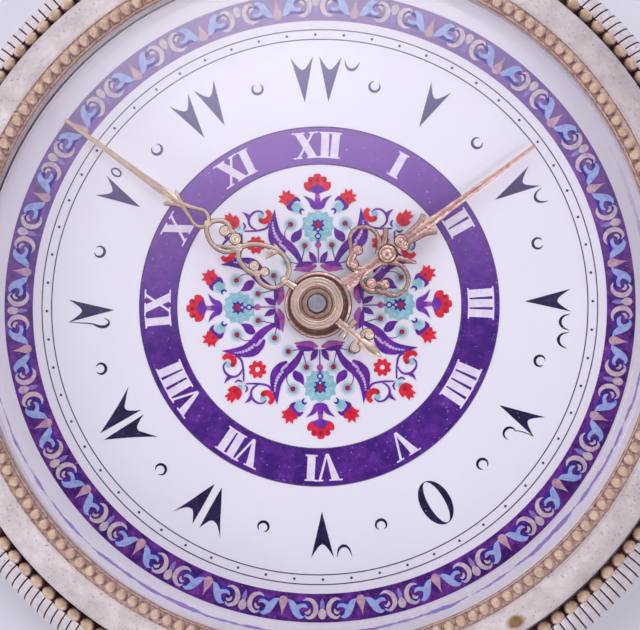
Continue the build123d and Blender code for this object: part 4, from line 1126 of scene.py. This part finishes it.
class WATCHDIAL_OT_numerals(bpy.types.Operator):
    """Prints the Roman band, the wedge numerals, the half-hour marks and the minute track"""

    bl_idname = "watchdial.numerals"
    bl_label = "Numerals"

    def execute(self, context):
        sizes = context.scene.watch_print
        bm = bmesh.new()
        add_band(bm, sizes.roman_inner / MM, sizes.roman_outer / MM, level(1))
        printed(bm, "roman_band", "violet_band")
        bm = bmesh.new()
        for index, (hour, letter, offset) in enumerate(ROMAN):
            upright(bm, add_letter(bm, letter, LETTER_LIFT * (index % 2)), hour + offset, LETTER_FOOT)
        printed(bm, "roman_numerals", "cream_letters")
        bm = bmesh.new()
        flat = {"height": level(1)}
        for angle in WEDGES:
            upright(bm, add_shape(bm, WEDGE, corners=WEDGE_CORNERS, **flat), angle)
        for centre, half, low, high in CURLS:
            side = low + CURL_RISE
            places = ((high, -1), (side, -0.6), (low, 0), (side, 0.6), (high, 1))
            points = [clock(radius, centre + half * share) for radius, share in places]
            add_stroke(bm, points, CURL_WIDTHS, level(1))
        for outline, corners, angles in LEANING:
            for side, angle in zip((1, -1), angles):
                verts = add_shape(bm, [(side * x, y) for x, y in outline], corners=corners, **flat)
                upright(bm, verts, angle)
        upright(bm, add_shape(bm, *(oval(*part) for part in RING), **flat), RING_ANGLE)
        x, y = clock(*ARCH_MIDDLE)
        turns = [math.radians(degrees) for degrees in ARCH_TURNS]
        for points, widths in (
            ([clock(*place) for place in HAIR[0]], HAIR[1]),
            ([(x + ARCH_RADIUS * math.cos(t), y + ARCH_RADIUS * math.sin(t)) for t in turns], ARCH_WIDTHS),
            ([clock(*place) for place in HOOK[0]], HOOK[1]),
        ):
            add_stroke(bm, points, widths, level(1))
        upright(bm, add_shape(bm, *(oval(*part) for part in LOOP), **flat), LOOP_ANGLE)
        for index in range(12):
            upright(bm, add_stroke(bm, arc(*MARK), MARK_WIDTHS, level(1)), 15 + 30 * index)
        printed(bm, "wedge_numerals", "ink")
        bm = bmesh.new()
        lines = [sizes.track_inner / MM, sizes.track_outer / MM]
        for index in range(60):
            add_dot(bm, clock(sum(lines) / 2, 6 * index), MINUTE_DOT, level(1), steps=8)
        for radius in lines:
            add_band(bm, radius - MINUTE_LINE, radius + MINUTE_LINE, level(1))
        add_band(bm, sizes.roman_inner / MM, sizes.roman_inner / MM + ROMAN_LINE, level(2))
        add_band(bm, sizes.roman_outer / MM - ROMAN_LINE, sizes.roman_outer / MM, level(2))
        printed(bm, "minute_track", "line_grey")
        return {"FINISHED"}


# The band of scrolls on one sector of 15 degrees, drawn at twelve o'clock: strokes on each side of
# the tall bud
SCROLL_STROKES = (
    ("cream", 3, ((1.12, 19.44), (0.92, 19.6), (0.62, 19.5), (0.43, 19.24), (0.42, 18.9), (0.58, 18.58),
      (0.9, 18.42), (1.2, 18.5)), (0.05, 0.16, 0.26, 0.3, 0.3, 0.26, 0.18, 0.04)),
    ("cream", 5, ((1.08, 19.22), (0.98, 19.3), (0.82, 19.22), (0.78, 19.05)), (0.05, 0.16, 0.18, 0.05)),
    ("pale_blue", 3, ((1.16, 19.54), (1.4, 19.52), (1.62, 19.28), (1.76, 18.94), (1.94, 18.62),
      (2.16, 18.42)), (0.04, 0.26, 0.42, 0.46, 0.34, 0.05)),
    ("pale_blue", 4, ((1.6, 19), (1.34, 18.84), (1.08, 18.84), (0.94, 18.98)), (0.3, 0.24, 0.22, 0.06)),
    ("indigo", 2, ((0.72, 19.26), (0.96, 19.42), (1.24, 19.38), (1.46, 19.16)), (0.06, 0.3, 0.34, 0.08)),
    ("indigo", 2, ((0.72, 18.72), (1.06, 18.62), (1.46, 18.64), (1.76, 18.5)), (0.06, 0.2, 0.24, 0.06)),
)
# Its buds: colour, level, half outline, sharp corners and turn from the tall bud
SCROLL_SHAPES = (
    ("cream", 3, ((0, 19.02), (0.15, 19.12), (0.24, 19.35), (0.18, 19.6), (0, 19.7)), (), 0),
    ("stalk_blue", 2, ((0, 19.2), (0.13, 18.9), (0.1, 18.6), (0, 18.38)), (3,), 0),
    ("pink", 4, ((0, 18.34), (0.19, 18.42), (0.27, 18.66), (0.19, 18.94), (0.09, 19.2), (0, 19.6)), (5,),
      7.5),
)
SCROLL_SECTORS = 24
SCROLL_SHIFT = 0.2


class WATCHDIAL_OT_scroll_band(bpy.types.Operator):
    """Prints the outer band of scrolls and buds"""

    bl_idname = "watchdial.scroll_band"
    bl_label = "Scroll band"

    def execute(self, context):
        sizes = context.scene.watch_print
        bm = bmesh.new()
        add_band(bm, sizes.scroll_inner / MM, sizes.scroll_outer / MM, level(1))
        printed(bm, "scroll_band_ground", "outer_band_violet")
        prints = {}
        for colour, step, points, widths in SCROLL_STROKES:
            for side in (1, -1):
                bm = prints.setdefault(colour, bmesh.new())
                add_stroke(bm, [(side * x, y) for x, y in points], widths, level(step))
        for colour, step, outline, corners, turn in SCROLL_SHAPES:
            bm = prints.setdefault(colour, bmesh.new())
            verts = add_shape(bm, mirrored(outline, "x"), height=level(step), corners=corners)
            turn_by(bm, verts, -math.radians(turn))
        for colour in sorted(prints):
            ring = bmesh.new()
            around(ring, prints[colour], SCROLL_SECTORS)
            turn_by(ring, ring.verts, -math.radians(SCROLL_SHIFT))
            printed(ring, "scroll_band_" + colour, colour)
        return {"FINISHED"}


# The hands

# Millimetres: a hand's plate, and the middle of it over its lowest point
PLATE_THICKNESS = 0.26
PLATE_MIDDLE = 0.14
# Small faces whose upward share is under this get the painted shade of the sides
STEEP = 0.72
SMALL_FACE = 0.2
# Outline of a knob in shares of its radius and rise, and how far it rises by its radius
BOSS = ((0.0, 1.0), (0.3, 0.94), (0.42, 0.74), (0.56, 0.86), (0.8, 0.66), (1.0, 0.1), (1.0, -0.3))
BOSS_RISE, BOSS_STEPS = 0.4, 20


def add_wire(bm, points, widths, height, flat=0.0, sides=2, fine=5):
    """A rounded bar of fretwork through points, as wide at each as widths says, thick as the plate."""
    flat = flat or min(0.85, PLATE_THICKNESS / max(widths))
    curve = bpy.data.curves.new("wire", "CURVE")
    curve.dimensions = "3D"
    curve.twist_mode = "Z_UP"
    curve.resolution_u = fine
    curve.bevel_depth = 0.5
    curve.bevel_resolution = sides
    curve.use_fill_caps = True
    spline(curve, points, False, radii=widths)
    verts = add_curve(bm, curve)
    bmesh.ops.scale(bm, vec=(1, 1, flat), verts=verts)
    bmesh.ops.translate(bm, vec=(0, 0, height), verts=verts)
    return verts


def add_boss(bm, place, radius, height):
    """A low round knob with a groove left as a ring round its crown."""
    older = set(bm.verts)
    verts = [bm.verts.new((r * radius, 0, h * radius * BOSS_RISE)) for r, h in BOSS]
    spun(bm, verts + [bm.edges.new(pair) for pair in zip(verts, verts[1:])], BOSS_STEPS)
    fresh = [v for v in bm.verts if v not in older]
    bmesh.ops.translate(bm, vec=(*place, height), verts=fresh)


def add_fretwork(bm, wires, knobs, height, lift):
    """The wires of a hand, and its knobs a little higher."""
    for points, widths in wires:
        add_wire(bm, points, widths, height)
    for place, radius in knobs:
        add_boss(bm, place, radius, height + lift)


def placed_hand(bm, turn):
    """Turns a hand drawn along the first axis to its place."""
    bmesh.ops.remove_doubles(bm, verts=bm.verts, dist=WELD)
    bmesh.ops.recalc_face_normals(bm, faces=bm.faces)
    turn_by(bm, bm.verts, turn)
    bm.normal_update()
    # Small steep faces get painted shade, which draws a dark outline round the fretwork
    for face in bm.faces:
        face.material_index = 1 if face.normal.z < STEEP and face.calc_area() < SMALL_FACE else 0


MINUTE_WIRES = (
    # Neck
    (((1.5, 0), (2.06, 0.02), (2.6, 0.05)), (0.6, 0.46, 0.44)),
    # Outer side of the first scroll, its spur and its inner leaf
    (((2.5, 0.08), (2.55, -0.4), (2.82, -0.84), (3.3, -1.14), (3.92, -1.24), (4.56, -1.1), (5.2, -0.8),
      (5.68, -0.42), (6.04, 0.06)), (0.34, 0.3, 0.3, 0.3, 0.34, 0.32, 0.32, 0.34, 0.36)),
    (((3.75, -1.16), (4.1, -1.34), (4.42, -1.42)), (0.2, 0.24, 0.05)),
    (((3.92, -1.17), (4.14, -0.95), (4.24, -0.66), (4.26, -0.34)), (0.26, 0.38, 0.32, 0.05)),
    (((4.3, -1.1), (4.36, -0.86), (4.56, -0.66)), (0.16, 0.22, 0.05)),
    # Inner side: two lobes that end in rosettes
    (((2.46, 0.1), (2.56, 0.53), (2.87, 0.87), (3.31, 1.02), (3.83, 0.96), (4.16, 0.74)), (0.32, 0.28, 0.3,
      0.32, 0.34, 0.4)),
    (((4.14, 0.76), (4.66, 0.9), (5.22, 0.81), (5.75, 0.53), (6.02, 0.1)), (0.4, 0.34, 0.34, 0.34, 0.38)),
    (((4.14, 0.74), (4, 0.52), (3.86, 0.34)), (0.4, 0.42, 0.4)),
    (((4.2, 0.74), (4.4, 0.58), (4.58, 0.42)), (0.4, 0.42, 0.4)),
    # Second scroll, with its inner bar
    (((6, 0.12), (6.36, 0.6), (6.89, 0.88), (7.47, 0.88), (8, 0.66), (8.4, 0.3), (8.54, -0.04)), (0.4, 0.34,
      0.32, 0.3, 0.3, 0.32, 0.36)),
    (((7.3, 0.74), (6.72, 0.5), (6.38, 0.28), (6.05, 0.1)), (0.06, 0.26, 0.3, 0.36)),
    (((8.52, -0.03), (8.2, -0.48), (7.75, -0.72), (7.37, -0.68), (7.17, -0.46), (7.3, -0.26)), (0.34, 0.3,
      0.34, 0.36, 0.38, 0.4)),
    (((7.15, -0.5), (6.85, -0.46), (6.55, -0.26), (6.2, -0.04)), (0.34, 0.36, 0.42, 0.3)),
    # Drop-shaped eye
    (((8.5, -0.04), (8.79, -0.41), (9.16, -0.52), (9.6, -0.38), (10.08, -0.19), (10.6, -0.04)), (0.34, 0.26,
      0.24, 0.26, 0.3, 0.36)),
    (((8.5, 0), (8.72, 0.4), (9.12, 0.52), (9.62, 0.36), (10.13, 0.17), (10.55, 0.03)), (0.34, 0.26, 0.24,
      0.26, 0.3, 0.36)),
    # Collar and its barbs
    (((10.3, 0), (10.8, 0), (11.3, 0), (12, 0)), (0.4, 0.64, 0.66, 0.5)),
    (((10.6, -0.12), (11.02, -0.26), (11.44, -0.56)), (0.24, 0.34, 0.08)),
    (((10.75, 0.12), (11.15, 0.34), (11.52, 0.62)), (0.3, 0.36, 0.2)),
)
MINUTE_KNOBS = (
    ((3.84, 0.33), 0.32), ((4.58, 0.42), 0.36), ((4.16, 0.72), 0.24), ((6.04, 0.06), 0.3),
    ((6.54, -0.25), 0.42), ((7.38, -0.26), 0.36), ((8.54, -0.03), 0.26), ((2.54, 0.05), 0.26),
)
HOUR_WIRES = (
    # Ribbed neck
    (((1.9, 0), (2.3, 0), (2.94, 0), (3.55, 0)), (1, 0.9, 0.78, 0.66)),
    (((1.95, 0.3), (2.5, 0.26), (3.1, 0.24), (3.5, 0.4)), (0.26, 0.24, 0.24, 0.16)),
    (((1.95, 0), (2.5, 0), (3.1, 0), (3.8, 0)), (0.26, 0.24, 0.24, 0.2)),
    (((1.95, -0.3), (2.5, -0.26), (3.1, -0.24), (3.5, -0.4)), (0.26, 0.24, 0.24, 0.16)),
    # Stem through the scrolls
    (((3.4, 0), (4.1, 0), (4.7, 0), (5.3, 0)), (0.64, 0.52, 0.62, 0.9)),
    # Left scroll: comma, rosette and ring
    (((3.5, 0.2), (3.22, 0.46), (3.16, 0.86), (3.48, 1.16), (3.8, 1.3)), (0.4, 0.5, 0.6, 0.5, 0.46)),
    (((3.36, 1.06), (3.68, 1.5), (3.88, 1.86), (4.1, 2.24), (4.62, 2.46), (5.17, 2.28), (5.52, 1.86),
      (5.58, 1.3), (5.36, 0.78), (4.9, 0.36)), (0.3, 0.3, 0.28, 0.28, 0.28, 0.28, 0.28, 0.3, 0.36, 0.4)),
    # Right scroll: outline, two rosettes and ring
    (((3.5, -0.1), (3.17, -0.3), (2.99, -0.7), (3.12, -1.18), (3.51, -1.5), (3.8, -1.84)), (0.36, 0.36,
      0.36, 0.36, 0.34, 0.3)),
    (((3.8, -1.7), (3.96, -2.14), (4.37, -2.43), (4.99, -2.42), (5.49, -2.1), (5.68, -1.58), (5.58, -0.97),
      (5.18, -0.52), (4.8, -0.3)), (0.34, 0.3, 0.28, 0.28, 0.28, 0.28, 0.3, 0.36, 0.4)),
    (((3.5, -0.9), (3.8, -1.2), (4.14, -1.46)), (0.44, 0.4, 0.44)),
    # Blunt spurs
    (((5.1, 0.34), (5.6, 0.68), (5.98, 1.02), (6.3, 1.42)), (0.5, 0.4, 0.38, 0.34)),
    (((5.4, -0.42), (5.86, -0.7), (6.18, -1.1), (6.52, -1.54)), (0.5, 0.42, 0.38, 0.1)),
    # Palmette's ribs
    (((4.9, 0), (5.4, 0.34), (5.86, 0.42)), (0.2, 0.32, 0.1)),
    (((4.9, 0), (5.45, 0), (6.1, 0)), (0.2, 0.36, 0.3)),
    (((4.9, 0), (5.4, -0.34), (5.86, -0.42)), (0.2, 0.32, 0.1)),
    # Feathered shaft and its blunt barbs
    (((6, 0), (6.7, 0), (7.4, 0), (8.2, 0), (8.8, 0)), (0.5, 0.7, 0.8, 0.72, 0.6)),
    (((6.9, 0.2), (7.5, 0.28), (8.1, 0.36), (8.72, 0.66)), (0.34, 0.4, 0.4, 0.34)),
    (((6.9, -0.2), (7.5, -0.26), (8.1, -0.36), (8.74, -0.7)), (0.34, 0.4, 0.4, 0.34)),
)
HOUR_KNOBS = (
    ((4.05, 1.3), 0.34), ((3.3, 0.72), 0.34), ((3.5, -0.9), 0.38), ((4.14, -1.46), 0.34), ((5.42, 0), 0.66),
    ((6.56, 0.14), 0.46), ((6.56, -0.24), 0.32),
)
TAIL_WIRES = (
    # Stem, crossbar, two curls and the leaf
    (((1.5, 0), (2.02, 0), (2.52, 0.02), (3.03, 0.02), (3.52, 0)), (0.66, 0.48, 0.44, 0.38, 0.5)),
    (((2.56, -0.68), (2.5, 0), (2.55, 0.72)), (0.42, 0.34, 0.42)),
    (((3.5, 0.16), (3.42, 0.5), (3.6, 0.76), (3.86, 0.76), (3.86, 0.6)), (0.3, 0.36, 0.38, 0.36, 0.3)),
    (((3.5, -0.1), (3.42, -0.4), (3.48, -0.72), (3.74, -0.76), (3.7, -0.58)), (0.28, 0.34, 0.36, 0.34,
      0.28)),
    (((3.5, 0), (3.9, 0), (4.3, 0), (4.8, 0), (5.32, 0)), (0.34, 0.62, 0.76, 0.6, 0.06)),
    (((3.6, 0), (4.3, 0), (5.1, 0)), (0.12, 0.16, 0.04)),
)
TAIL_KNOBS = (((3.8, 0.62), 0.34), ((3.66, -0.6), 0.32))
TAIL_TURN = 176
KNOB_LIFT, TAIL_KNOB_LIFT = 0.04, 0.06
# Faces round a hand's hub and round the collet
HUB_STEPS, COLLET_STEPS = 96, 80
# Long shafts: points and widths
MINUTE_SHAFT = ((11.4, 0.0), (12.2, 0.0), (13.4, 0.0), (19.75, 0.0)), (0.56, 0.5, 0.44, 0.24)
HOUR_SHAFT = ((8.3, 0.0), (9.2, 0.0), (10.4, 0.0), (16.95, 0.0)), (0.66, 0.56, 0.46, 0.22)


class WATCHDIAL_OT_minute_hand(bpy.types.Operator):
    """Makes the minute hand, its fleur-de-lis tail and its collet"""

    bl_idname = "watchdial.minute_hand"
    bl_label = "Minute hand"

    def execute(self, context):
        turn = context.scene.watch_hands.minute_turn
        low, high = (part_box("minute_hand")[i].z / MM for i in (0, 1))
        middle = low + PLATE_MIDDLE
        bm = bmesh.new()
        add_fretwork(bm, TAIL_WIRES, TAIL_KNOBS, middle, TAIL_KNOB_LIFT)
        turn_by(bm, bm.verts, math.radians(TAIL_TURN))
        add_fretwork(bm, MINUTE_WIRES, MINUTE_KNOBS, middle, KNOB_LIFT)
        add_wire(bm, *MINUTE_SHAFT, middle, flat=0.5, sides=1, fine=3)
        boss = turned(
            (
                (1.1, low), (1.66, low), (1.7, low + 0.06), (1.7, high - 0.08), (1.63, high - 0.01),
                (1.5, high), (1.47, high - 0.03), (1.44, high), (1.3, high), (1.27, high - 0.03),
                (1.24, high), (1.16, high), (1.1, high - 0.05),
            ),
            HUB_STEPS, 0.012, 1,
        )
        join(bm, boss)
        placed_hand(bm, turn)
        gilt = [finish("rose_gilt"), finish("hand_grime")]
        finished(bm, "minute_hand_fretwork", gilt, "minute_hand", ["minute_hand"])
        base, top = (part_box("minute_hand_collet")[i].z / MM for i in (0, 1))
        collet = turned(
            (
                (0.57, base), (1.35, base), (1.35, low), (1.06, low), (1.09, top + 0.02),
                (1.05, top + 0.01), (0.98, top - 0.05), (0.96, top - 0.16), (0.93, top - 0.16),
                (0.9, top - 0.08), (0.68, top - 0.1), (0.62, top - 0.14), (0.6, top - 0.26),
                (0.57, top - 0.26),
            ),
            COLLET_STEPS, 0.012, 1,
        )
        finished(
            collet, "minute_hand_rivet", [finish("collet_bronze")], "minute_hand",
            ["minute_hand_collet"],
        )
        return {"FINISHED"}


class WATCHDIAL_OT_hour_hand(bpy.types.Operator):
    """Makes the hour hand"""

    bl_idname = "watchdial.hour_hand"
    bl_label = "Hour hand"

    def execute(self, context):
        turn = context.scene.watch_hands.hour_turn
        low, high = (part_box("hour_hand")[i].z / MM for i in (0, 1))
        middle = low + PLATE_MIDDLE
        bm = bmesh.new()
        add_fretwork(bm, HOUR_WIRES, HOUR_KNOBS, middle, KNOB_LIFT)
        add_wire(bm, *HOUR_SHAFT, middle, flat=0.44, sides=1, fine=3)
        boss = turned(
            (
                (1.31, low), (2.08, low), (2.13, high - 0.16), (2.06, high - 0.04), (1.9, high),
                (1.78, high - 0.08), (1.31, high - 0.06),
            ),
            HUB_STEPS, 0.02, 1,
        )
        join(bm, boss)
        placed_hand(bm, turn)
        gilt = [finish("rose_gilt_worn"), finish("hand_grime")]
        finished(bm, "hour_hand_fretwork", gilt, "hour_hand", ["hour_hand"])
        return {"FINISHED"}


# The works behind and under the dial keep their CAD shapes and get their finishes

WORKS = {
    "silver_polished": ("stem_tube", "bezel_hinge_knuckles"),
    "polished_steel": (
        "bezel_hinge_pin", "centre_arbor", "cannon_pinion", "minute_pinion", "setting_wheel",
        "minute_wheel_stud", "setting_wheel_stud",
    ),
    "blued_steel": ("case_screws", "dial_foot_screws"),
    "plate_gilt": ("mainplate",),
    "wheel_brass": ("minute_wheel", "hour_wheel", "centre_bush"),
    "rose_gilt_worn": ("dial_spring_washer", "hour_hand_collet"),
    "synthetic_ruby": ("plate_jewels",),
    "fired_copper": ("dial_copper_base", "dial_feet"),
    "counter_enamel": ("dial_counter_enamel",),
    "vitreous_white": ("dial_front_enamel",),
}


class WATCHDIAL_OT_works(bpy.types.Operator):
    """Gives the plate, the motion work and the dial's layers their finishes"""

    bl_idname = "watchdial.works"
    bl_label = "Works"

    def execute(self, context):
        for name, nodes in WORKS.items():
            for node in nodes:
                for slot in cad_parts[node].material_slots:
                    slot.material = finish(name)
        return {"FINISHED"}


# Metres: half of the floor's side, and the soft lights by place, width and depth, with the setting and
# the share of it that each has
FLOOR_HALF = 1.5
LIGHTS = (
    ("tent_north", (0, 0.5, 0.3), 0.8, 0.45, "tent_power", 2.4),
    ("tent_east", (0.5, 0, 0.3), 0.8, 0.45, "tent_power", 0.55),
    ("tent_south", (0, -0.5, 0.3), 0.8, 0.45, "tent_power", 2.4),
    ("tent_west", (-0.5, 0, 0.3), 0.8, 0.45, "tent_power", 2.7),
    ("high_right", (0.32, -0.12, 0.5), 0.2, 0.2, "high_power", 1.1),
    ("high_back", (0.1, 0.42, 0.5), 0.2, 0.2, "high_power", 0.5),
    ("wash", (-0.035, 0.13, 0.5), 0.1, 0.1, "wash_power", 1.7),
)
# Millimetres from the hands' axis to the point that the camera looks at, and its film's width
AIM = (0.05, -0.562)
FILM_WIDTH = 36
ROOM_COLOUR, ROOM_LIGHT = "e6e4f2", 0.04


class WATCHDIAL_OT_stage(bpy.types.Operator):
    """Sets the floor, the soft lights and the camera"""

    bl_idname = "watchdial.stage"
    bl_label = "Stage"

    def execute(self, context):
        scene = context.scene
        stage = scene.watch_stage
        bm = bmesh.new()
        bmesh.ops.create_grid(bm, x_segments=1, y_segments=1, size=FLOOR_HALF)
        mesh = bpy.data.meshes.new("studio_floor")
        bm.to_mesh(mesh)
        bm.free()
        mesh.materials.append(finish("studio_paper"))
        floor = bpy.data.objects.new("studio_floor", mesh)
        scene.collection.objects.link(floor)
        eye = Vector((stage.camera_right, -stage.camera_below, ENAMEL_TOP * MM + stage.camera_height))
        aim = Vector((*AIM, ENAMEL_TOP)) * MM
        camera = bpy.data.objects.new("camera", bpy.data.cameras.new("camera"))
        camera.data.lens = stage.lens
        camera.data.sensor_width = FILM_WIDTH
        back = (eye - aim).normalized()
        right = Vector((0, 1, 0)).cross(back).normalized()
        frame_axes = Matrix((right, back.cross(right), back)).transposed().to_4x4()
        camera.matrix_world = (
            Matrix.Translation(eye) @ frame_axes @ Matrix.Rotation(stage.camera_roll, 4, "Z")
        )
        scene.collection.objects.link(camera)
        scene.camera = camera
        for name, place, width, depth, power, share in LIGHTS:
            light = bpy.data.objects.new(name, bpy.data.lights.new(name, "AREA"))
            light.data.shape = "RECTANGLE"
            light.data.size = width
            light.data.size_y = depth
            light.data.energy = getattr(stage, power) * share
            where = Vector(place)
            aimed = (-where).to_track_quat("-Z", "Y").to_matrix().to_4x4()
            light.matrix_world = Matrix.Translation(where) @ aimed
            scene.collection.objects.link(light)
        world = bpy.data.worlds.new("studio")
        world.use_nodes = True
        room = world.node_tree.nodes["Background"].inputs
        room["Color"].default_value = linear(ROOM_COLOUR)
        room["Strength"].default_value = ROOM_LIGHT
        scene.world = world
        scene.view_settings.view_transform = "Standard"
        return {"FINISHED"}


class WATCHDIAL_PT_panel(bpy.types.Panel):
    """Lists the dial's pieces in the sidebar"""

    bl_idname = "WATCHDIAL_PT_panel"
    bl_label = "Watch Dial"
    bl_space_type = "VIEW_3D"
    bl_region_type = "UI"
    bl_category = "Watch Dial"

    def draw(self, context):
        scene = context.scene
        for settings in (scene.watch_case, scene.watch_print, scene.watch_hands, scene.watch_stage):
            for name in settings.bl_rna.properties.keys():
                if name not in ("rna_type", "name"):
                    self.layout.prop(settings, name)
        for operator in OPERATORS:
            self.layout.operator(operator.bl_idname)


SETTINGS = (CaseSettings, PrintSettings, HandSettings, StageSettings)
OPERATORS = (
    WATCHDIAL_OT_case_band, WATCHDIAL_OT_bead_rows, WATCHDIAL_OT_bezel, WATCHDIAL_OT_crystal,
    WATCHDIAL_OT_works, WATCHDIAL_OT_numerals, WATCHDIAL_OT_flowers, WATCHDIAL_OT_scroll_band,
    WATCHDIAL_OT_hour_hand, WATCHDIAL_OT_minute_hand, WATCHDIAL_OT_stage,
)


def register():
    """Adds the settings, the operators and the panel to Blender."""
    for kind in SETTINGS + OPERATORS + (WATCHDIAL_PT_panel,):
        bpy.utils.register_class(kind)
    bpy.types.Scene.watch_case = bpy.props.PointerProperty(type=CaseSettings)
    bpy.types.Scene.watch_print = bpy.props.PointerProperty(type=PrintSettings)
    bpy.types.Scene.watch_hands = bpy.props.PointerProperty(type=HandSettings)
    bpy.types.Scene.watch_stage = bpy.props.PointerProperty(type=StageSettings)


def unregister():
    """Takes them out again."""
    for name in ("watch_case", "watch_print", "watch_hands", "watch_stage"):
        delattr(bpy.types.Scene, name)
    for kind in reversed(SETTINGS + OPERATORS + (WATCHDIAL_PT_panel,)):
        bpy.utils.unregister_class(kind)


def main():
    """Builds every piece in order."""
    register()
    for operator in OPERATORS:
        getattr(bpy.ops.watchdial, operator.bl_idname.split(".")[1])()


if __name__ == "__main__":
    main()
